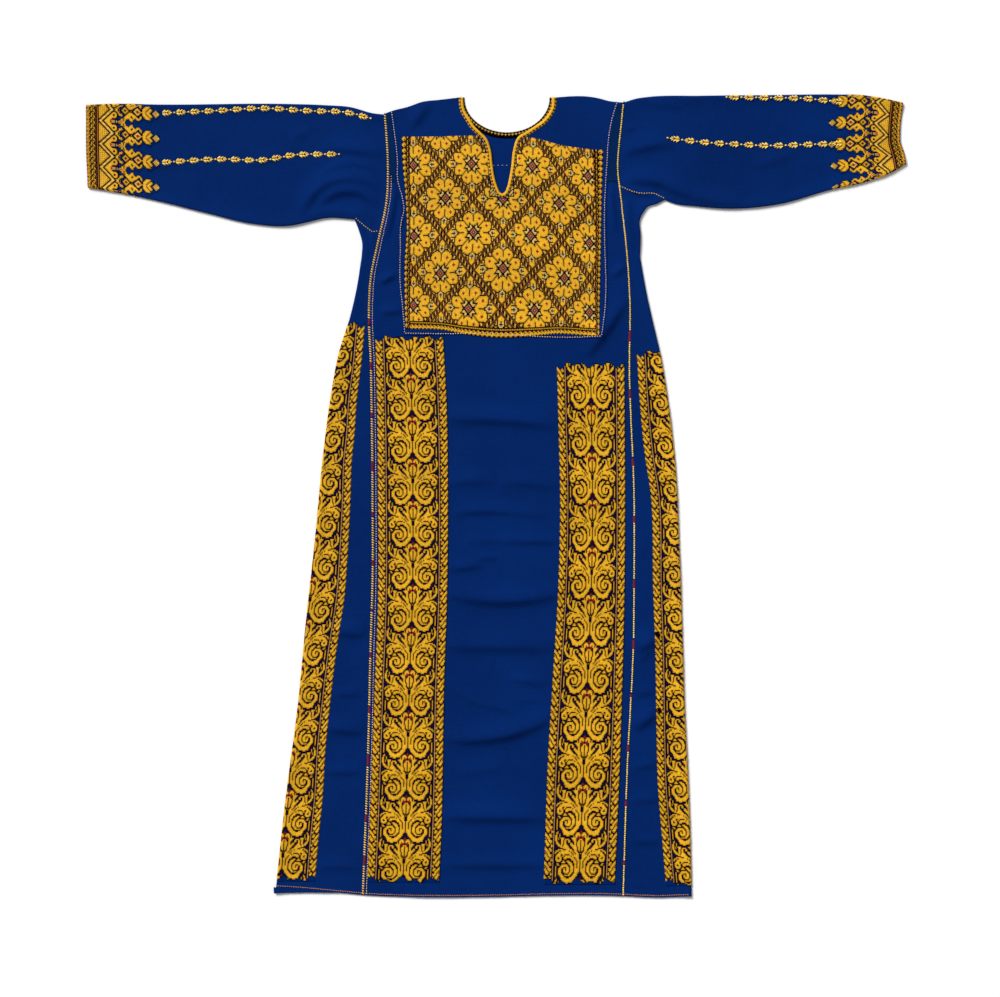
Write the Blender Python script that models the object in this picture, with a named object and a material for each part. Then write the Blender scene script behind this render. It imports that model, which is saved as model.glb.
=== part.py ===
"""Long embroidered dress with straight sleeves, laid flat on its back.

Frame: metres, +Z up, +Y towards the shoulders. The origin is the bottom centre of the box that
holds the dress. Names say left for the -X side and right for the +X side.

Each piece is one wall of cloth. The back layer lies flat on the surface. The front layer lies on
it, and is worked out from patches between the seams. The side panels and the sleeves turn round
the outer folds from one layer to the other. The tables are in millimetres.
"""
import bpy
import numpy as np

MM = 0.001

# Cloth, seams and folds, in millimetres
WALL = 1.2             # one layer of cloth, with its stitching
GAP = 0.3              # between two layers, and between two pieces at a seam
SEAM_HALF = 0.18       # how far a piece stops short of its seam line
FOLD_RISE = 2.4        # how far the unpressed outer folds stand up over the flat layers
FOLD_REACH = 2.6       # how far a fold's round goes out past the flat layers
FOLD_SPREAD = 14.0     # distance over which the rise at a fold dies away
FOLD_STEPS = 4         # points on a fold's round, between the two layers
BINDING_WIDTH = 6.2    # bound neck edge
BINDING_EXTRA = 0.5    # how far the front binding stands above the panels it holds
EDGING_WIDTH = 5.0     # worked edge of each cuff

# Front seams from the shoulders to the hem: y, x of the left seam, x of the right seam
SEAMS = np.array([
    (680, -191, 218), (620, -186, 212), (563, -183, 207), (503, -185, 213),
    (430, -200, 221), (371, -212, 226), (325, -215, 228), (223, -212, 227),
    (-7, -209, 235), (-143, -209, 235), (-245, -212, 234), (-449, -217, 224),
    (-690, -226, 216),
], float)

# Outer folds of the body below the armpits: y, x of the left fold, x of the right fold
SIDES = np.array([
    (406, -228, 245), (350, -237, 255), (299, -249, 266), (248, -265, 278),
    (163, -281, 292), (61, -294, 304), (-75, -307, 311), (-211, -322, 316),
    (-347, -335, 320), (-517, -357, 328), (-690, -376, 333),
], float)

# Folds of the armpits, from the armpit's corner down to the first row of SIDES: x, y
LEFT_ARMPIT = np.array([(-240, 470), (-232, 449), (-227, 430), (-228, 406)], float)
RIGHT_ARMPIT = np.array([
    (287, 503), (273, 496), (258, 491), (251, 482), (245, 470), (246, 445), (245, 406),
], float)

# Seams between sleeve and side panel, from the front seam out to the armpit: x, y
LEFT_ARM_SEAM = np.array([(-200, 450), (-209, 449), (-218, 455), (-227, 462), (-240, 470)], float)
RIGHT_ARM_SEAM = np.array([
    (210, 527), (226, 520), (236, 516), (247, 514), (268, 514), (287, 503),
], float)

# Sleeve outlines from the cuff to the shoulder, and from the cuff to the armpit: x, y
LEFT_SLEEVE_TOP = np.array([
    (-696, 664), (-656, 666), (-570, 665), (-350, 666), (-289, 664), (-248, 661), (-207, 650),
    (-188, 648),
], float)
LEFT_SLEEVE_FOOT = np.array([
    (-693, 524), (-656, 518), (-574, 501), (-493, 481), (-411, 462), (-350, 459),
    (-320, 465), (-289, 472), (-240, 470),
], float)
LEFT_CUFF = np.array([(-696, 663), (-696, 595), (-693, 524)], float)
RIGHT_SLEEVE_TOP = np.array([
    (692, 668), (650, 677), (622, 681), (585, 682), (449, 681), (347, 680), (259, 678),
    (238, 675), (216, 668),
], float)
RIGHT_SLEEVE_FOOT = np.array([
    (697, 564), (667, 547), (636, 536), (565, 519), (483, 496), (402, 488),
    (340, 492), (303, 497), (287, 503),
], float)
RIGHT_CUFF = np.array([(692, 668), (687, 619), (687, 605), (694, 582), (697, 564)], float)

# Shoulders from the sleeve to the neck, and the hem from left to right: x, y
LEFT_SHOULDER = np.array([
    (-189, 649), (-176, 654), (-149, 661), (-122, 670), (-95, 673), (-62, 677),
], float)
RIGHT_SHOULDER = np.array([
    (102, 677), (130, 679), (150, 679), (177, 675), (191, 671), (216, 668),
], float)
HEM = np.array([
    (-376, -665), (-319, -669), (-265, -674), (-210, -679), (-156, -681), (7, -681),
    (89, -679), (198, -679), (279, -682), (333, -680),
], float)

# Cut edge of the front's neck and slit, from the slit's foot up to each shoulder: x, y
SLIT_FOOT = (11, 507)
LEFT_NECK = np.array([
    SLIT_FOOT, (2, 512), (-3, 522), (-8, 538), (-12, 562), (-15, 587), (-22, 605), (-29, 612),
    (-42, 625), (-51, 639), (-58, 651), (-61, 662), (-62, 677),
], float)
RIGHT_NECK = np.array([
    SLIT_FOOT, (20, 512), (25, 522), (29, 538), (33, 562), (36, 587), (43, 606), (55, 613),
    (70, 623), (84, 633), (94, 645), (101, 660), (102, 677),
], float)

# The back's neck is half an ellipse
BACK_NECK_CENTRE = (19, 677)
BACK_NECK_HALF_WIDTH = 74.5
BACK_NECK_DEPTH = 61.0

# Sides of the chest panel from the shoulders down: y, x of its left edge, x of its right edge
CHEST = np.array([
    (680, -184, 211), (610, -174, 196), (571, -170, 192), (534, -169, 190), (488, -160, 188),
    (460, -164, 188), (365, -165, 189), (321, -161, 188), (270, -157, 182),
], float)
CHEST_FOOT = (273, 267)        # y of its lower edge, left and right
STRIP_FOOT = (534, 535)        # y where the shoulder strips end, left and right
SLIT_ROW = 503                 # y on the seams of the row that meets the slit's foot
MIDDLE_FOOT_X = 7.0            # where the front's middle column meets the hem

# Soft folds of the front layer: x and y of both ends, bow to the left of the way from the first
# end to the second, height, and half width. Each is tapered along its length by a sine's power.
FOLD_TAPER = 0.7
FOLDS = np.array([
    (-333, 489, -200, 513, 20, 6.5, 13),      # left armpit, lower
    (-322, 501, -198, 541, 22, 5.0, 12),      # left armpit, upper
    (-298, 596, -192, 585, 0, 3.0, 13),       # left sleeve, towards the shoulder
    (214, 546, 415, 503, 9, 6.5, 14),         # right armpit
    (216, 588, 350, 602, 7, 4.0, 13),         # right sleeve, towards the shoulder
    (-115, 668, -144, 625, 0, 2.4, 12),       # left shoulder
    (-178, 528, -188, 432, 0, 3.0, 9),        # left side, under the shoulder strip
    (195, 515, 212, 450, 0, 3.0, 9),          # right side, under the shoulder strip
    (222, 515, 240, 446, 0, 3.0, 10),         # right side panel, under the arm
    (218, 333, 157, 240, -12, 4.2, 15),       # from the right seam to the chest panel's corner
    (-98, 136, 112, 126, 0, 3.8, 15),         # front, from here down to the hem
    (-98, -172, 115, -172, 0, 4.4, 15),
    (-98, -252, 112, -252, 4, 3.8, 15),
    (-90, -416, 105, -376, -22, 5.0, 16),
    (-98, -541, 95, -544, 0, 3.8, 15),
    (-275, -228, -220, -234, 0, 3.0, 14),     # left side panel
    (-290, -392, -222, -400, 0, 3.0, 14),
    (236, -262, 276, -240, 0, 3.4, 14),       # right side panel
    (232, -396, 276, -364, 0, 3.4, 14),
], float)

# Rows of the front layer from the hem to the chest panel, as y: three to each fold, some between
LOWER_ROWS = (
    225, 180, 152, 135, 118, 75, 20, -35, -90, -135, -156, -172, -188, -222, -237, -252, -267,
    -300, -345, -380, -396, -412, -450, -500, -527, -543, -559, -615,
)

# Steps between points
CHEST_COLUMNS = 6              # from the chest panel's edge to the middle
STRIP_COLUMNS = 2              # from a front seam to the chest panel's edge
ABOVE_STRIP_ROWS = 9           # from the foot of the shoulder strips to the shoulders
HEM_STEPS = 16                 # along the back's hem
SHOULDER_STEPS = 3             # along each of the back's shoulders
BACK_NECK_STEPS = 12           # along the back's neck
ARM_SEAM_STEPS = 4             # from a front seam out to the armpit
SLEEVE_STEPS = 11              # from a cuff to above the armpit
SMOOTH_ANGLE = np.radians(40)  # sharper edges than this stay sharp

MIDNIGHT = (0.004, 0.019, 0.115)       # dyed cotton, linear colour
DEEP_TEAL = (0.003, 0.015, 0.085)
SAFFRON = (0.64, 0.36, 0.022)
COTTON_ROUGHNESS = 0.85
THREAD_ROUGHNESS = 0.6


def smooth_columns(table, at):
    """Read a table at new values of its first column, along a Hermite cubic with mean slopes."""
    rows = table[np.argsort(table[:, 0])]
    x, y = rows[:, 0], rows[:, 1:]
    slope = np.gradient(y, x, axis=0)
    at = np.clip(np.asarray(at, float), x[0], x[-1])
    i = np.clip(np.searchsorted(x, at) - 1, 0, len(x) - 2)
    step = x[i + 1] - x[i]
    t = ((at - x[i]) / step)[:, None]
    step = step[:, None]
    return (
        (2 * t**3 - 3 * t**2 + 1) * y[i] + (t**3 - 2 * t**2 + t) * step * slope[i]
        + (3 * t**2 - 2 * t**3) * y[i + 1] + (t**3 - t**2) * step * slope[i + 1]
    )


def smooth_curve(points, fractions):
    """Points at fractions of the length of a smooth curve through the given points."""
    length = np.concatenate([[0], np.cumsum(np.linalg.norm(np.diff(points, axis=0), axis=1))])
    return smooth_columns(np.column_stack([length, points]), np.asarray(fractions) * length[-1])


def normals(points):
    """Unit normals of a flat curve, to the right of the way along it."""
    way = np.gradient(points, axis=0)
    way /= np.linalg.norm(way, axis=1)[:, None]
    return np.column_stack([way[:, 1], -way[:, 0]])


def moved(points, distance):
    """A flat curve moved sideways, to its right, with mitred corners."""
    way = np.diff(points, axis=0)
    way /= np.linalg.norm(way, axis=1)[:, None]
    side = np.column_stack([way[:, 1], -way[:, 0]])
    before = np.vstack([side[:1], side])
    after = np.vstack([side, side[-1:]])
    mitre = before + after
    return points + distance * 2 * mitre / (mitre**2).sum(axis=1)[:, None]


def patch(left, right, foot=None, head=None, columns=None, heights=None):
    """Coons patch of rows x columns between two side curves and two end curves.

    P = rows between the sides + columns between the ends - the corners' bilinear blend.
    A missing end is the straight line between the sides. Heights are the rows' shares of the way
    from foot to head, and are even where none are given.
    """
    for end in (foot, head):
        columns = columns if end is None else len(end) - 1
    u = np.linspace(0, 1, columns + 1)[None, :, None]
    v = (np.linspace(0, 1, len(left)) if heights is None else heights)[:, None, None]
    between = (1 - u) * left[:, None] + u * right[:, None]
    for end, weight in ((foot, 1 - v), (head, v)):
        if end is not None:
            straight = (1 - u[0]) * end[0] + u[0] * end[-1]
            between = between + weight * (end - straight)[None]
    return between


def outline_points(count=150):
    """Close points along every outer fold, for distances to the nearest one."""
    y = np.linspace(SIDES[-1, 0], SIDES[0, 0], count)
    sides = smooth_columns(SIDES, y)
    curves = [np.column_stack([sides[:, 0], y]), np.column_stack([sides[:, 1], y])]
    tables = (
        LEFT_ARMPIT, LEFT_SLEEVE_TOP, LEFT_SLEEVE_FOOT,
        RIGHT_ARMPIT, RIGHT_SLEEVE_TOP, RIGHT_SLEEVE_FOOT,
    )
    for table in tables:
        curves.append(smooth_curve(table, np.linspace(0, 1, count)))
    return np.vstack(curves)


OUTLINE = outline_points()


def lift(points):
    """Height of the front layer over its lowest place: the outer folds' rise and the soft folds.

    A soft fold is a bell across an arc that bows from its chord, tapered to nothing at both ends.
    """
    x, y = points[..., 0], points[..., 1]
    near = np.hypot(x[..., None] - OUTLINE[:, 0], y[..., None] - OUTLINE[:, 1]).min(axis=-1)
    height = FOLD_RISE * np.exp(-((near / FOLD_SPREAD) ** 2))
    for x0, y0, x1, y1, bow, rise, half_width in FOLDS:
        length = np.hypot(x1 - x0, y1 - y0)
        along_x, along_y = (x1 - x0) / length, (y1 - y0) / length
        along = ((x - x0) * along_x + (y - y0) * along_y) / length
        inside = np.clip(along, 0, 1)
        aside = (y - y0) * along_x - (x - x0) * along_y
        across = aside - 4 * bow * inside * (1 - inside)
        beyond = (along - inside) * length
        bell = np.exp(-(across**2 + beyond**2) / half_width**2)
        height = height + rise * bell * np.sin(np.pi * inside) ** FOLD_TAPER
    return height


def front_layer(points, layers_up=0):
    """Middle of the wall of a front piece, and which way is out; layers_up lifts it onto others."""
    z = 1.5 * WALL + GAP + lift(points) + layers_up * (WALL + GAP)
    return np.dstack([points, z]), np.broadcast_to((0.0, 0.0, 1.0), points.shape[:2] + (3,))


def back_layer(points):
    """Middle of the wall of a back piece, flat on the surface, and which way is out."""
    z = np.full(points.shape[:2], 0.5 * WALL)
    return np.dstack([points, z]), np.broadcast_to((0.0, 0.0, -1.0), points.shape[:2] + (3,))


def fold_round(edge, outward):
    """The round of an outer fold, from the front layer's edge down to the back layer's."""
    front_z = 1.5 * WALL + GAP + lift(edge[:, None])[:, 0]
    middle, half = (front_z + 0.5 * WALL) / 2, (front_z - 0.5 * WALL) / 2
    angle = np.linspace(np.pi / 2, -np.pi / 2, FOLD_STEPS + 2)
    out, up = np.cos(angle)[None, :, None], np.sin(angle)[None, :]
    reach = FOLD_REACH - WALL / 2
    flat = edge[:, None] + outward[:, None] * out * reach
    points = np.dstack([flat, middle[:, None] + half[:, None] * up])
    way = np.dstack([outward[:, None] * out, np.broadcast_to(up, flat.shape[:2])])
    return points, way


def material(name, colour, roughness):
    """A plain Principled material."""
    made = bpy.data.materials.get(name) or bpy.data.materials.new(name)
    made.use_nodes = True
    shader = made.node_tree.nodes["Principled BSDF"]
    shader.inputs["Base Color"].default_value = (*colour, 1)
    shader.inputs["Roughness"].default_value = roughness
    shader.inputs["Metallic"].default_value = 0
    made.diffuse_color = (*colour, 1)
    return made


def add_piece(name, points, faces, colour, roughness):
    """One object from points in millimetres and faces."""
    mesh = bpy.data.meshes.new(name)
    mesh.from_pydata((points * MM).tolist(), [], faces)
    mesh.shade_smooth()
    mesh.set_sharp_from_angle(angle=SMOOTH_ANGLE)
    mesh.materials.append(material(name, colour, roughness))
    piece = bpy.data.objects.new(name, mesh)
    bpy.context.collection.objects.link(piece)
    return piece


def cloth(name, sheets, colour, roughness, below=WALL / 2, above=WALL / 2):
    """One closed wall from grids of middle points and outward ways.

    The outer skin stands off the middle by above and the inner by below. Sheets that share an
    edge are welded there, and every free edge is closed between the two skins.
    """
    outer, inner, triangles, start = [], [], [], 0
    for middle, way in sheets:
        out = (middle + way * above).reshape(-1, 3)
        index = start + np.arange(len(out)).reshape(middle.shape[:2])
        a, b, c, d = index[:-1, :-1], index[:-1, 1:], index[1:, 1:], index[1:, :-1]
        faces = np.vstack([np.dstack([a, b, c]).reshape(-1, 3), np.dstack([a, c, d]).reshape(-1, 3)])
        p = out[faces - start]
        turn = np.cross(p[:, 1] - p[:, 0], p[:, 2] - p[:, 0])
        if (turn * way.reshape(-1, 3)[faces[:, 0] - start]).sum() < 0:
            faces = faces[:, ::-1]
        outer.append(out)
        inner.append((middle - way * below).reshape(-1, 3))
        triangles.append(faces)
        start += len(out)
    outer, inner, triangles = np.vstack(outer), np.vstack(inner), np.vstack(triangles)
    places = np.round(outer, 4)
    _, first, same = np.unique(places, axis=0, return_index=True, return_inverse=True)
    outer, inner, triangles = outer[first], inner[first], same.ravel()[triangles]
    count = len(outer)
    edges = np.vstack([triangles[:, (0, 1)], triangles[:, (1, 2)], triangles[:, (2, 0)]])
    paired = set(map(tuple, edges[:, ::-1].tolist()))
    free = np.array([edge for edge in edges.tolist() if tuple(edge) not in paired])
    start, end = free[:, 0], free[:, 1]
    rim = np.vstack([
        np.column_stack([end, start, start + count]),
        np.column_stack([end, start + count, end + count]),
    ])
    faces = np.vstack([triangles, triangles[:, ::-1] + count, rim])
    return add_piece(name, np.vstack([outer, inner]), faces.tolist(), colour, roughness)


def plate(name, outline, low, high, colour, roughness):
    """A flat plate between two heights, from its outline, which runs anticlockwise."""
    count = len(outline)
    points = np.vstack([np.column_stack([outline, np.full(count, z)]) for z in (low, high)])
    here = np.arange(count)
    after = np.roll(here, -1)
    faces = [here[::-1].tolist(), (here + count).tolist()]
    faces += np.column_stack([here, after, after + count, here + count]).tolist()
    return add_piece(name, points, faces, colour, roughness)


def main_rows():
    """y of every row where it meets the left and the right seam, from the hem to the shoulders.

    Also returns the indices of the rows at the chest panel's lower edge, at the slit's foot, at
    the foot of the shoulder strips, and of the rows where each sleeve's seam leaves the front.
    """
    hem = smooth_columns(HEM, SEAMS[-1, 1:])[:, 0]
    left, right = [hem[0]], [hem[1]]

    def add(to_left, to_right, steps=1):
        left.extend(np.linspace(left[-1], to_left, steps + 1)[1:])
        right.extend(np.linspace(right[-1], to_right, steps + 1)[1:])
        return len(left) - 1

    for y in reversed(LOWER_ROWS):
        add(y, y)
    chest_foot = add(CHEST_FOOT[0], CHEST_FOOT[1])
    add(406, 406, 3)
    add(428, 428)
    left_arm = add(LEFT_ARM_SEAM[0, 1], 450)
    slit = add(SLIT_ROW, SLIT_ROW, 2)
    right_arm = add(518, RIGHT_ARM_SEAM[0, 1])
    strip_foot = add(STRIP_FOOT[0], STRIP_FOOT[1])
    add(LEFT_SHOULDER[0, 1], RIGHT_SHOULDER[-1, 1], ABOVE_STRIP_ROWS)
    return np.array(left), np.array(right), chest_foot, slit, strip_foot, left_arm, right_arm


LEFT_Y, RIGHT_Y, CHEST_ROW, SLIT, STRIP_ROW, LEFT_ARM_ROW, RIGHT_ARM_ROW = main_rows()
LEFT_SEAM = np.column_stack([smooth_columns(SEAMS, LEFT_Y)[:, 0], LEFT_Y])
RIGHT_SEAM = np.column_stack([smooth_columns(SEAMS, RIGHT_Y)[:, 1], RIGHT_Y])


def front_grids():
    """The front's points: a left and a right half, rows from the hem up, columns from left.

    The halves share their middle column up to the slit's foot, and part round slit and neck
    above it. Each half has the chest panel's edge as one of its columns.
    """
    rows = len(LEFT_Y)
    left_edge, right_edge = moved(LEFT_SEAM, SEAM_HALF), moved(RIGHT_SEAM, -SEAM_HALF)
    middle_top = np.array(SLIT_FOOT, float)
    middle_foot = np.array([MIDDLE_FOOT_X, smooth_columns(HEM, [MIDDLE_FOOT_X])[0, 0]])
    up = (LEFT_Y[:SLIT + 1] + RIGHT_Y[:SLIT + 1]) / 2
    part = (up - up[0]) / (up[-1] - up[0])
    middle = middle_foot + part[:, None] * (middle_top - middle_foot)
    halves = []
    for seam, neck_table, shoulder, column in (
        (left_edge, LEFT_NECK, LEFT_SHOULDER, 0), (right_edge, RIGHT_NECK, RIGHT_SHOULDER, 1),
    ):
        neck = smooth_curve(neck_table, np.linspace(0, 1, rows - SLIT))
        inner = np.vstack([middle, neck[1:]])
        chest_x = smooth_columns(CHEST, seam[:, 1])[:, column]
        chest = np.column_stack([chest_x, seam[:, 1]])
        top_y = smooth_columns(shoulder, [chest_x[-1]])[0, 0]
        chest[SLIT:, 1] += (top_y - seam[-1, 1]) * np.linspace(0, 1, rows - SLIT)
        kept = (chest[CHEST_ROW] - seam[CHEST_ROW])[0] / (inner[CHEST_ROW] - seam[CHEST_ROW])[0]
        chest[:CHEST_ROW] = seam[:CHEST_ROW] + kept * (inner[:CHEST_ROW] - seam[:CHEST_ROW])
        x = np.linspace(chest[-1, 0], inner[-1, 0], CHEST_COLUMNS + 1)
        head = np.column_stack([x, smooth_columns(shoulder, x)[:, 0]])
        head[0], head[-1] = chest[-1], inner[-1]
        strip = patch(seam, chest, columns=STRIP_COLUMNS)
        lower = patch(chest[:SLIT + 1], inner[:SLIT + 1], columns=CHEST_COLUMNS)
        upper = patch(chest[SLIT:], inner[SLIT:], head=head)
        grid = np.hstack([strip[:, :-1], np.vstack([lower[:-1], upper])])
        halves.append(grid if column == 0 else grid[:, ::-1])
    for half in halves:
        to_hem = smooth_columns(HEM, half[0, :, 0])[:, 0] - half[0, :, 1]
        half[0, :, 1] += to_hem
        half[1, :, 1] += to_hem / 2
    return halves


def front_and_chest():
    """Front panel, the chest panel sewn over it, and the strips from the chest to the sleeves.

    Returns the cut edge of neck and slit, from the left shoulder to the right one.
    """
    left, right = front_grids()
    cloth("front_panel", [front_layer(left), front_layer(right)], MIDNIGHT, COTTON_ROUGHNESS)
    chest = [left[CHEST_ROW:, STRIP_COLUMNS:], right[CHEST_ROW:, :-STRIP_COLUMNS]]
    cloth("chest_panel", [front_layer(half, 1) for half in chest], SAFFRON, THREAD_ROUGHNESS)
    strips = {
        "left_shoulder_strip": left[STRIP_ROW:, :STRIP_COLUMNS + 1],
        "right_shoulder_strip": right[STRIP_ROW:, -STRIP_COLUMNS - 1:],
    }
    for name, grid in strips.items():
        grid = grid.copy()
        inner_column, away = (-1, -1) if name.startswith("left") else (0, 1)
        grid[:, inner_column, 0] += away * 2 * SEAM_HALF
        cloth(name, [front_layer(grid, 1)], DEEP_TEAL, COTTON_ROUGHNESS)
    return np.vstack([left[:SLIT - 1:-1, -1], right[SLIT + 1:, 0]])


def front_binding(cut_edge):
    """The bound edge of neck and slit: a strip inside the cut edge, as high as both panels."""
    outer = moved(cut_edge, -GAP)
    inner = moved(cut_edge, -GAP - BINDING_WIDTH)
    points = np.stack([outer, inner], axis=1)
    middle, way = front_layer(points)
    middle[:, 1, 2] = middle[:, 0, 2]
    above = WALL / 2 + GAP + WALL + BINDING_EXTRA
    cloth("front_neck_binding", [(middle, way)], SAFFRON, THREAD_ROUGHNESS, above=above)


def back_panel():
    """Back panel, a flat plate with its hollowed neck, and the binding along that neck."""
    left_edge, right_edge = moved(LEFT_SEAM, SEAM_HALF), moved(RIGHT_SEAM, -SEAM_HALF)
    angle = np.linspace(np.pi, 0, BACK_NECK_STEPS + 1)
    round_way = np.column_stack([np.cos(angle), -np.sin(angle)])
    opening = np.array(BACK_NECK_CENTRE) + round_way * (BACK_NECK_HALF_WIDTH, BACK_NECK_DEPTH)
    cut = moved(opening, BINDING_WIDTH + GAP)
    cut[[0, -1], 1] = opening[[0, -1], 1]
    left_x = np.linspace(left_edge[-1, 0], cut[0, 0], SHOULDER_STEPS + 1)
    right_x = np.linspace(cut[-1, 0], right_edge[-1, 0], SHOULDER_STEPS + 1)
    left_top = np.column_stack([left_x, smooth_columns(LEFT_SHOULDER, left_x)[:, 0]])
    right_top = np.column_stack([right_x, smooth_columns(RIGHT_SHOULDER, right_x)[:, 0]])
    left_top[0], left_top[-1] = left_edge[-1], cut[0]
    right_top[0], right_top[-1] = cut[-1], right_edge[-1]
    scoop = smooth_curve(cut, np.linspace(0, 1, BACK_NECK_STEPS + 1))
    hem_x = np.linspace(left_edge[0, 0], right_edge[0, 0], HEM_STEPS + 1)[1:-1]
    hem = np.column_stack([hem_x, smooth_columns(HEM, hem_x)[:, 0]])
    outline = np.vstack([
        hem, right_edge, right_top[-2::-1], scoop[-2:0:-1], left_top[:0:-1], left_edge[::-1],
    ])
    plate("back_panel", outline, 0, WALL, MIDNIGHT, COTTON_ROUGHNESS)
    rim = np.stack([moved(scoop, -GAP), moved(scoop, -GAP - BINDING_WIDTH)], axis=1)
    rim[[0, -1], :, 1] = scoop[[0, -1], 1][:, None]
    cloth("back_neck_binding", [back_layer(rim)], MIDNIGHT, THREAD_ROUGHNESS)


def armpit(armpit_table, sleeve_foot):
    """Inner end of the arm seam and the way out from it, halfway between the two outlines."""
    corner = armpit_table[0]
    down, along = armpit_table[1] - corner, sleeve_foot[-2] - corner
    out = down / np.linalg.norm(down) + along / np.linalg.norm(along)
    out /= np.linalg.norm(out)
    return corner - out * FOLD_REACH, out


def side_panel(name, seam_rows, armpit_table, arm_seam, side, column):
    """A side panel: from the front seam out, round the outer fold and back to the back seam.

    side is -1 on the left and 1 on the right, and column is that side's column in SIDES.
    """
    seam = moved(seam_rows, side * SEAM_HALF)
    below_y = seam_rows[seam_rows[:, 1] < SIDES[0, 0] + 1][:, 1]
    armpit_rows = len(seam_rows) - len(below_y)
    lower = np.column_stack([smooth_columns(SIDES, below_y)[:, column], below_y])
    upper = smooth_curve(armpit_table[::-1], np.linspace(0, 1, armpit_rows + 1))[1:]
    outline = np.vstack([lower, upper])
    outline[0, 1] = smooth_columns(HEM, [outline[0, 0]])[0, 0]
    outward = normals(outline) * side
    edge = outline - outward * FOLD_REACH
    head = moved(arm_seam, side * SEAM_HALF)
    outward[-1] = head[-1] - head[-2]
    outward[-1] /= np.linalg.norm(outward[-1])
    head = head[:-1]
    seam[-1] = head[0] = head[0] + (seam[-1] - seam_rows[-1])
    edge[-1] = head[-1]
    foot_x = np.linspace(seam[0, 0], edge[0, 0], len(head))
    foot = np.column_stack([foot_x, smooth_columns(HEM, foot_x)[:, 0]])
    foot[0] = seam[0]
    edge[0] = foot[-1]
    grid = patch(seam, edge, foot, head)
    sheets = [front_layer(grid), back_layer(grid), fold_round(edge, outward)]
    cloth(name, sheets, MIDNIGHT, COTTON_ROUGHNESS)


def sleeve(side_name, seam_rows, top_table, foot_table, cuff_table, arm_seam, side):
    """A sleeve: a flat tube from the cuff to the seams, and the worked edging at its cuff."""
    steps = len(seam_rows) - 1
    top_length = np.linalg.norm(np.diff(top_table, axis=0), axis=1).sum()
    cut = np.array([0, EDGING_WIDTH, EDGING_WIDTH + GAP]) / top_length
    share = 1 - np.abs(arm_seam[0, 0] - arm_seam[-2, 0]) / top_length
    run = np.linspace(cut[-1], share, SLEEVE_STEPS + 1)
    stations = np.concatenate([cut[:-1], run, np.linspace(share, 1, ARM_SEAM_STEPS + 1)[1:]])
    top = smooth_curve(top_table, stations)
    out_top = normals(top) * side
    out_top[-1] = (0, 1)
    top = top - out_top * FOLD_REACH
    foot = smooth_curve(foot_table, np.concatenate([cut[:-1], run]) / share)
    out_foot = normals(foot) * -side
    foot = foot - out_foot * FOLD_REACH
    seam_side = moved(arm_seam, -side * SEAM_HALF)
    out_foot[-1] = seam_side[-1] - seam_side[-2]
    out_foot[-1] /= np.linalg.norm(out_foot[-1])
    foot = np.vstack([foot[:-1], seam_side[-2::-1]])
    seam = moved(seam_rows, -side * SEAM_HALF)
    corner = seam_side[0] + (seam[-1] - seam_rows[-1])
    seam[-1] = foot[-1] = corner
    top[-1] = seam[0]
    cuff = smooth_curve(cuff_table, np.linspace(0, 1, steps + 1))
    cuff[0], cuff[-1] = top[0], foot[0]
    grid = patch(top, foot, cuff, seam, heights=stations)
    for name, first, last, colour, roughness in (
        (side_name + "_cuff_edging", 0, 2, SAFFRON, THREAD_ROUGHNESS),
        (side_name + "_sleeve", 2, len(grid), MIDNIGHT, COTTON_ROUGHNESS),
    ):
        points = grid[first:last]
        folded = slice(first, min(last, len(out_foot)))
        sheets = [
            front_layer(points),
            back_layer(points),
            fold_round(points[:, 0], out_top[first:last]),
            fold_round(grid[folded, -1], out_foot[folded]),
        ]
        cloth(name, sheets, colour, roughness)


def arm_seam_points(table, inner_end, out):
    """The arm seam in even steps to the fold's inner edge, and one point more at the outline."""
    route = np.vstack([table[:-1], inner_end])
    steps = smooth_curve(route, np.linspace(0, 1, ARM_SEAM_STEPS + 1))
    return np.vstack([steps, inner_end + out * FOLD_REACH])


def side(name, seam_rows, arm_row, tables, direction, column):
    """The side panel and the sleeve of one side, which share their seams' points."""
    armpit_table, arm_seam_table, sleeve_top, sleeve_foot, cuff = tables
    inner_end, out = armpit(armpit_table, sleeve_foot)
    arm_seam = arm_seam_points(arm_seam_table, inner_end, out)
    below, above = seam_rows[:arm_row + 1], seam_rows[:arm_row - 1:-1]
    arm_seam[0] = below[-1]
    side_panel(name + "_side_panel", below, armpit_table, arm_seam, direction, column)
    sleeve(name, above, sleeve_top, sleeve_foot, cuff, arm_seam, direction)


for thing in list(bpy.data.objects):
    bpy.data.objects.remove(thing, do_unlink=True)
front_binding(front_and_chest())
back_panel()
side("left", LEFT_SEAM, LEFT_ARM_ROW, (
    LEFT_ARMPIT, LEFT_ARM_SEAM, LEFT_SLEEVE_TOP, LEFT_SLEEVE_FOOT, LEFT_CUFF,
), -1, 0)
side("right", RIGHT_SEAM, RIGHT_ARM_ROW, (
    RIGHT_ARMPIT, RIGHT_ARM_SEAM, RIGHT_SLEEVE_TOP, RIGHT_SLEEVE_FOOT, RIGHT_CUFF,
), 1, 1)
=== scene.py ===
"""Long embroidered dress of dark blue cotton, laid flat on its back: cloth, stitching and finish.

Shapes are worked out in millimetres and put into the meshes in metres. X runs to the right along
the sleeves, Y towards the shoulders and Z up from the table. Left is the -X side.
"""

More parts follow.
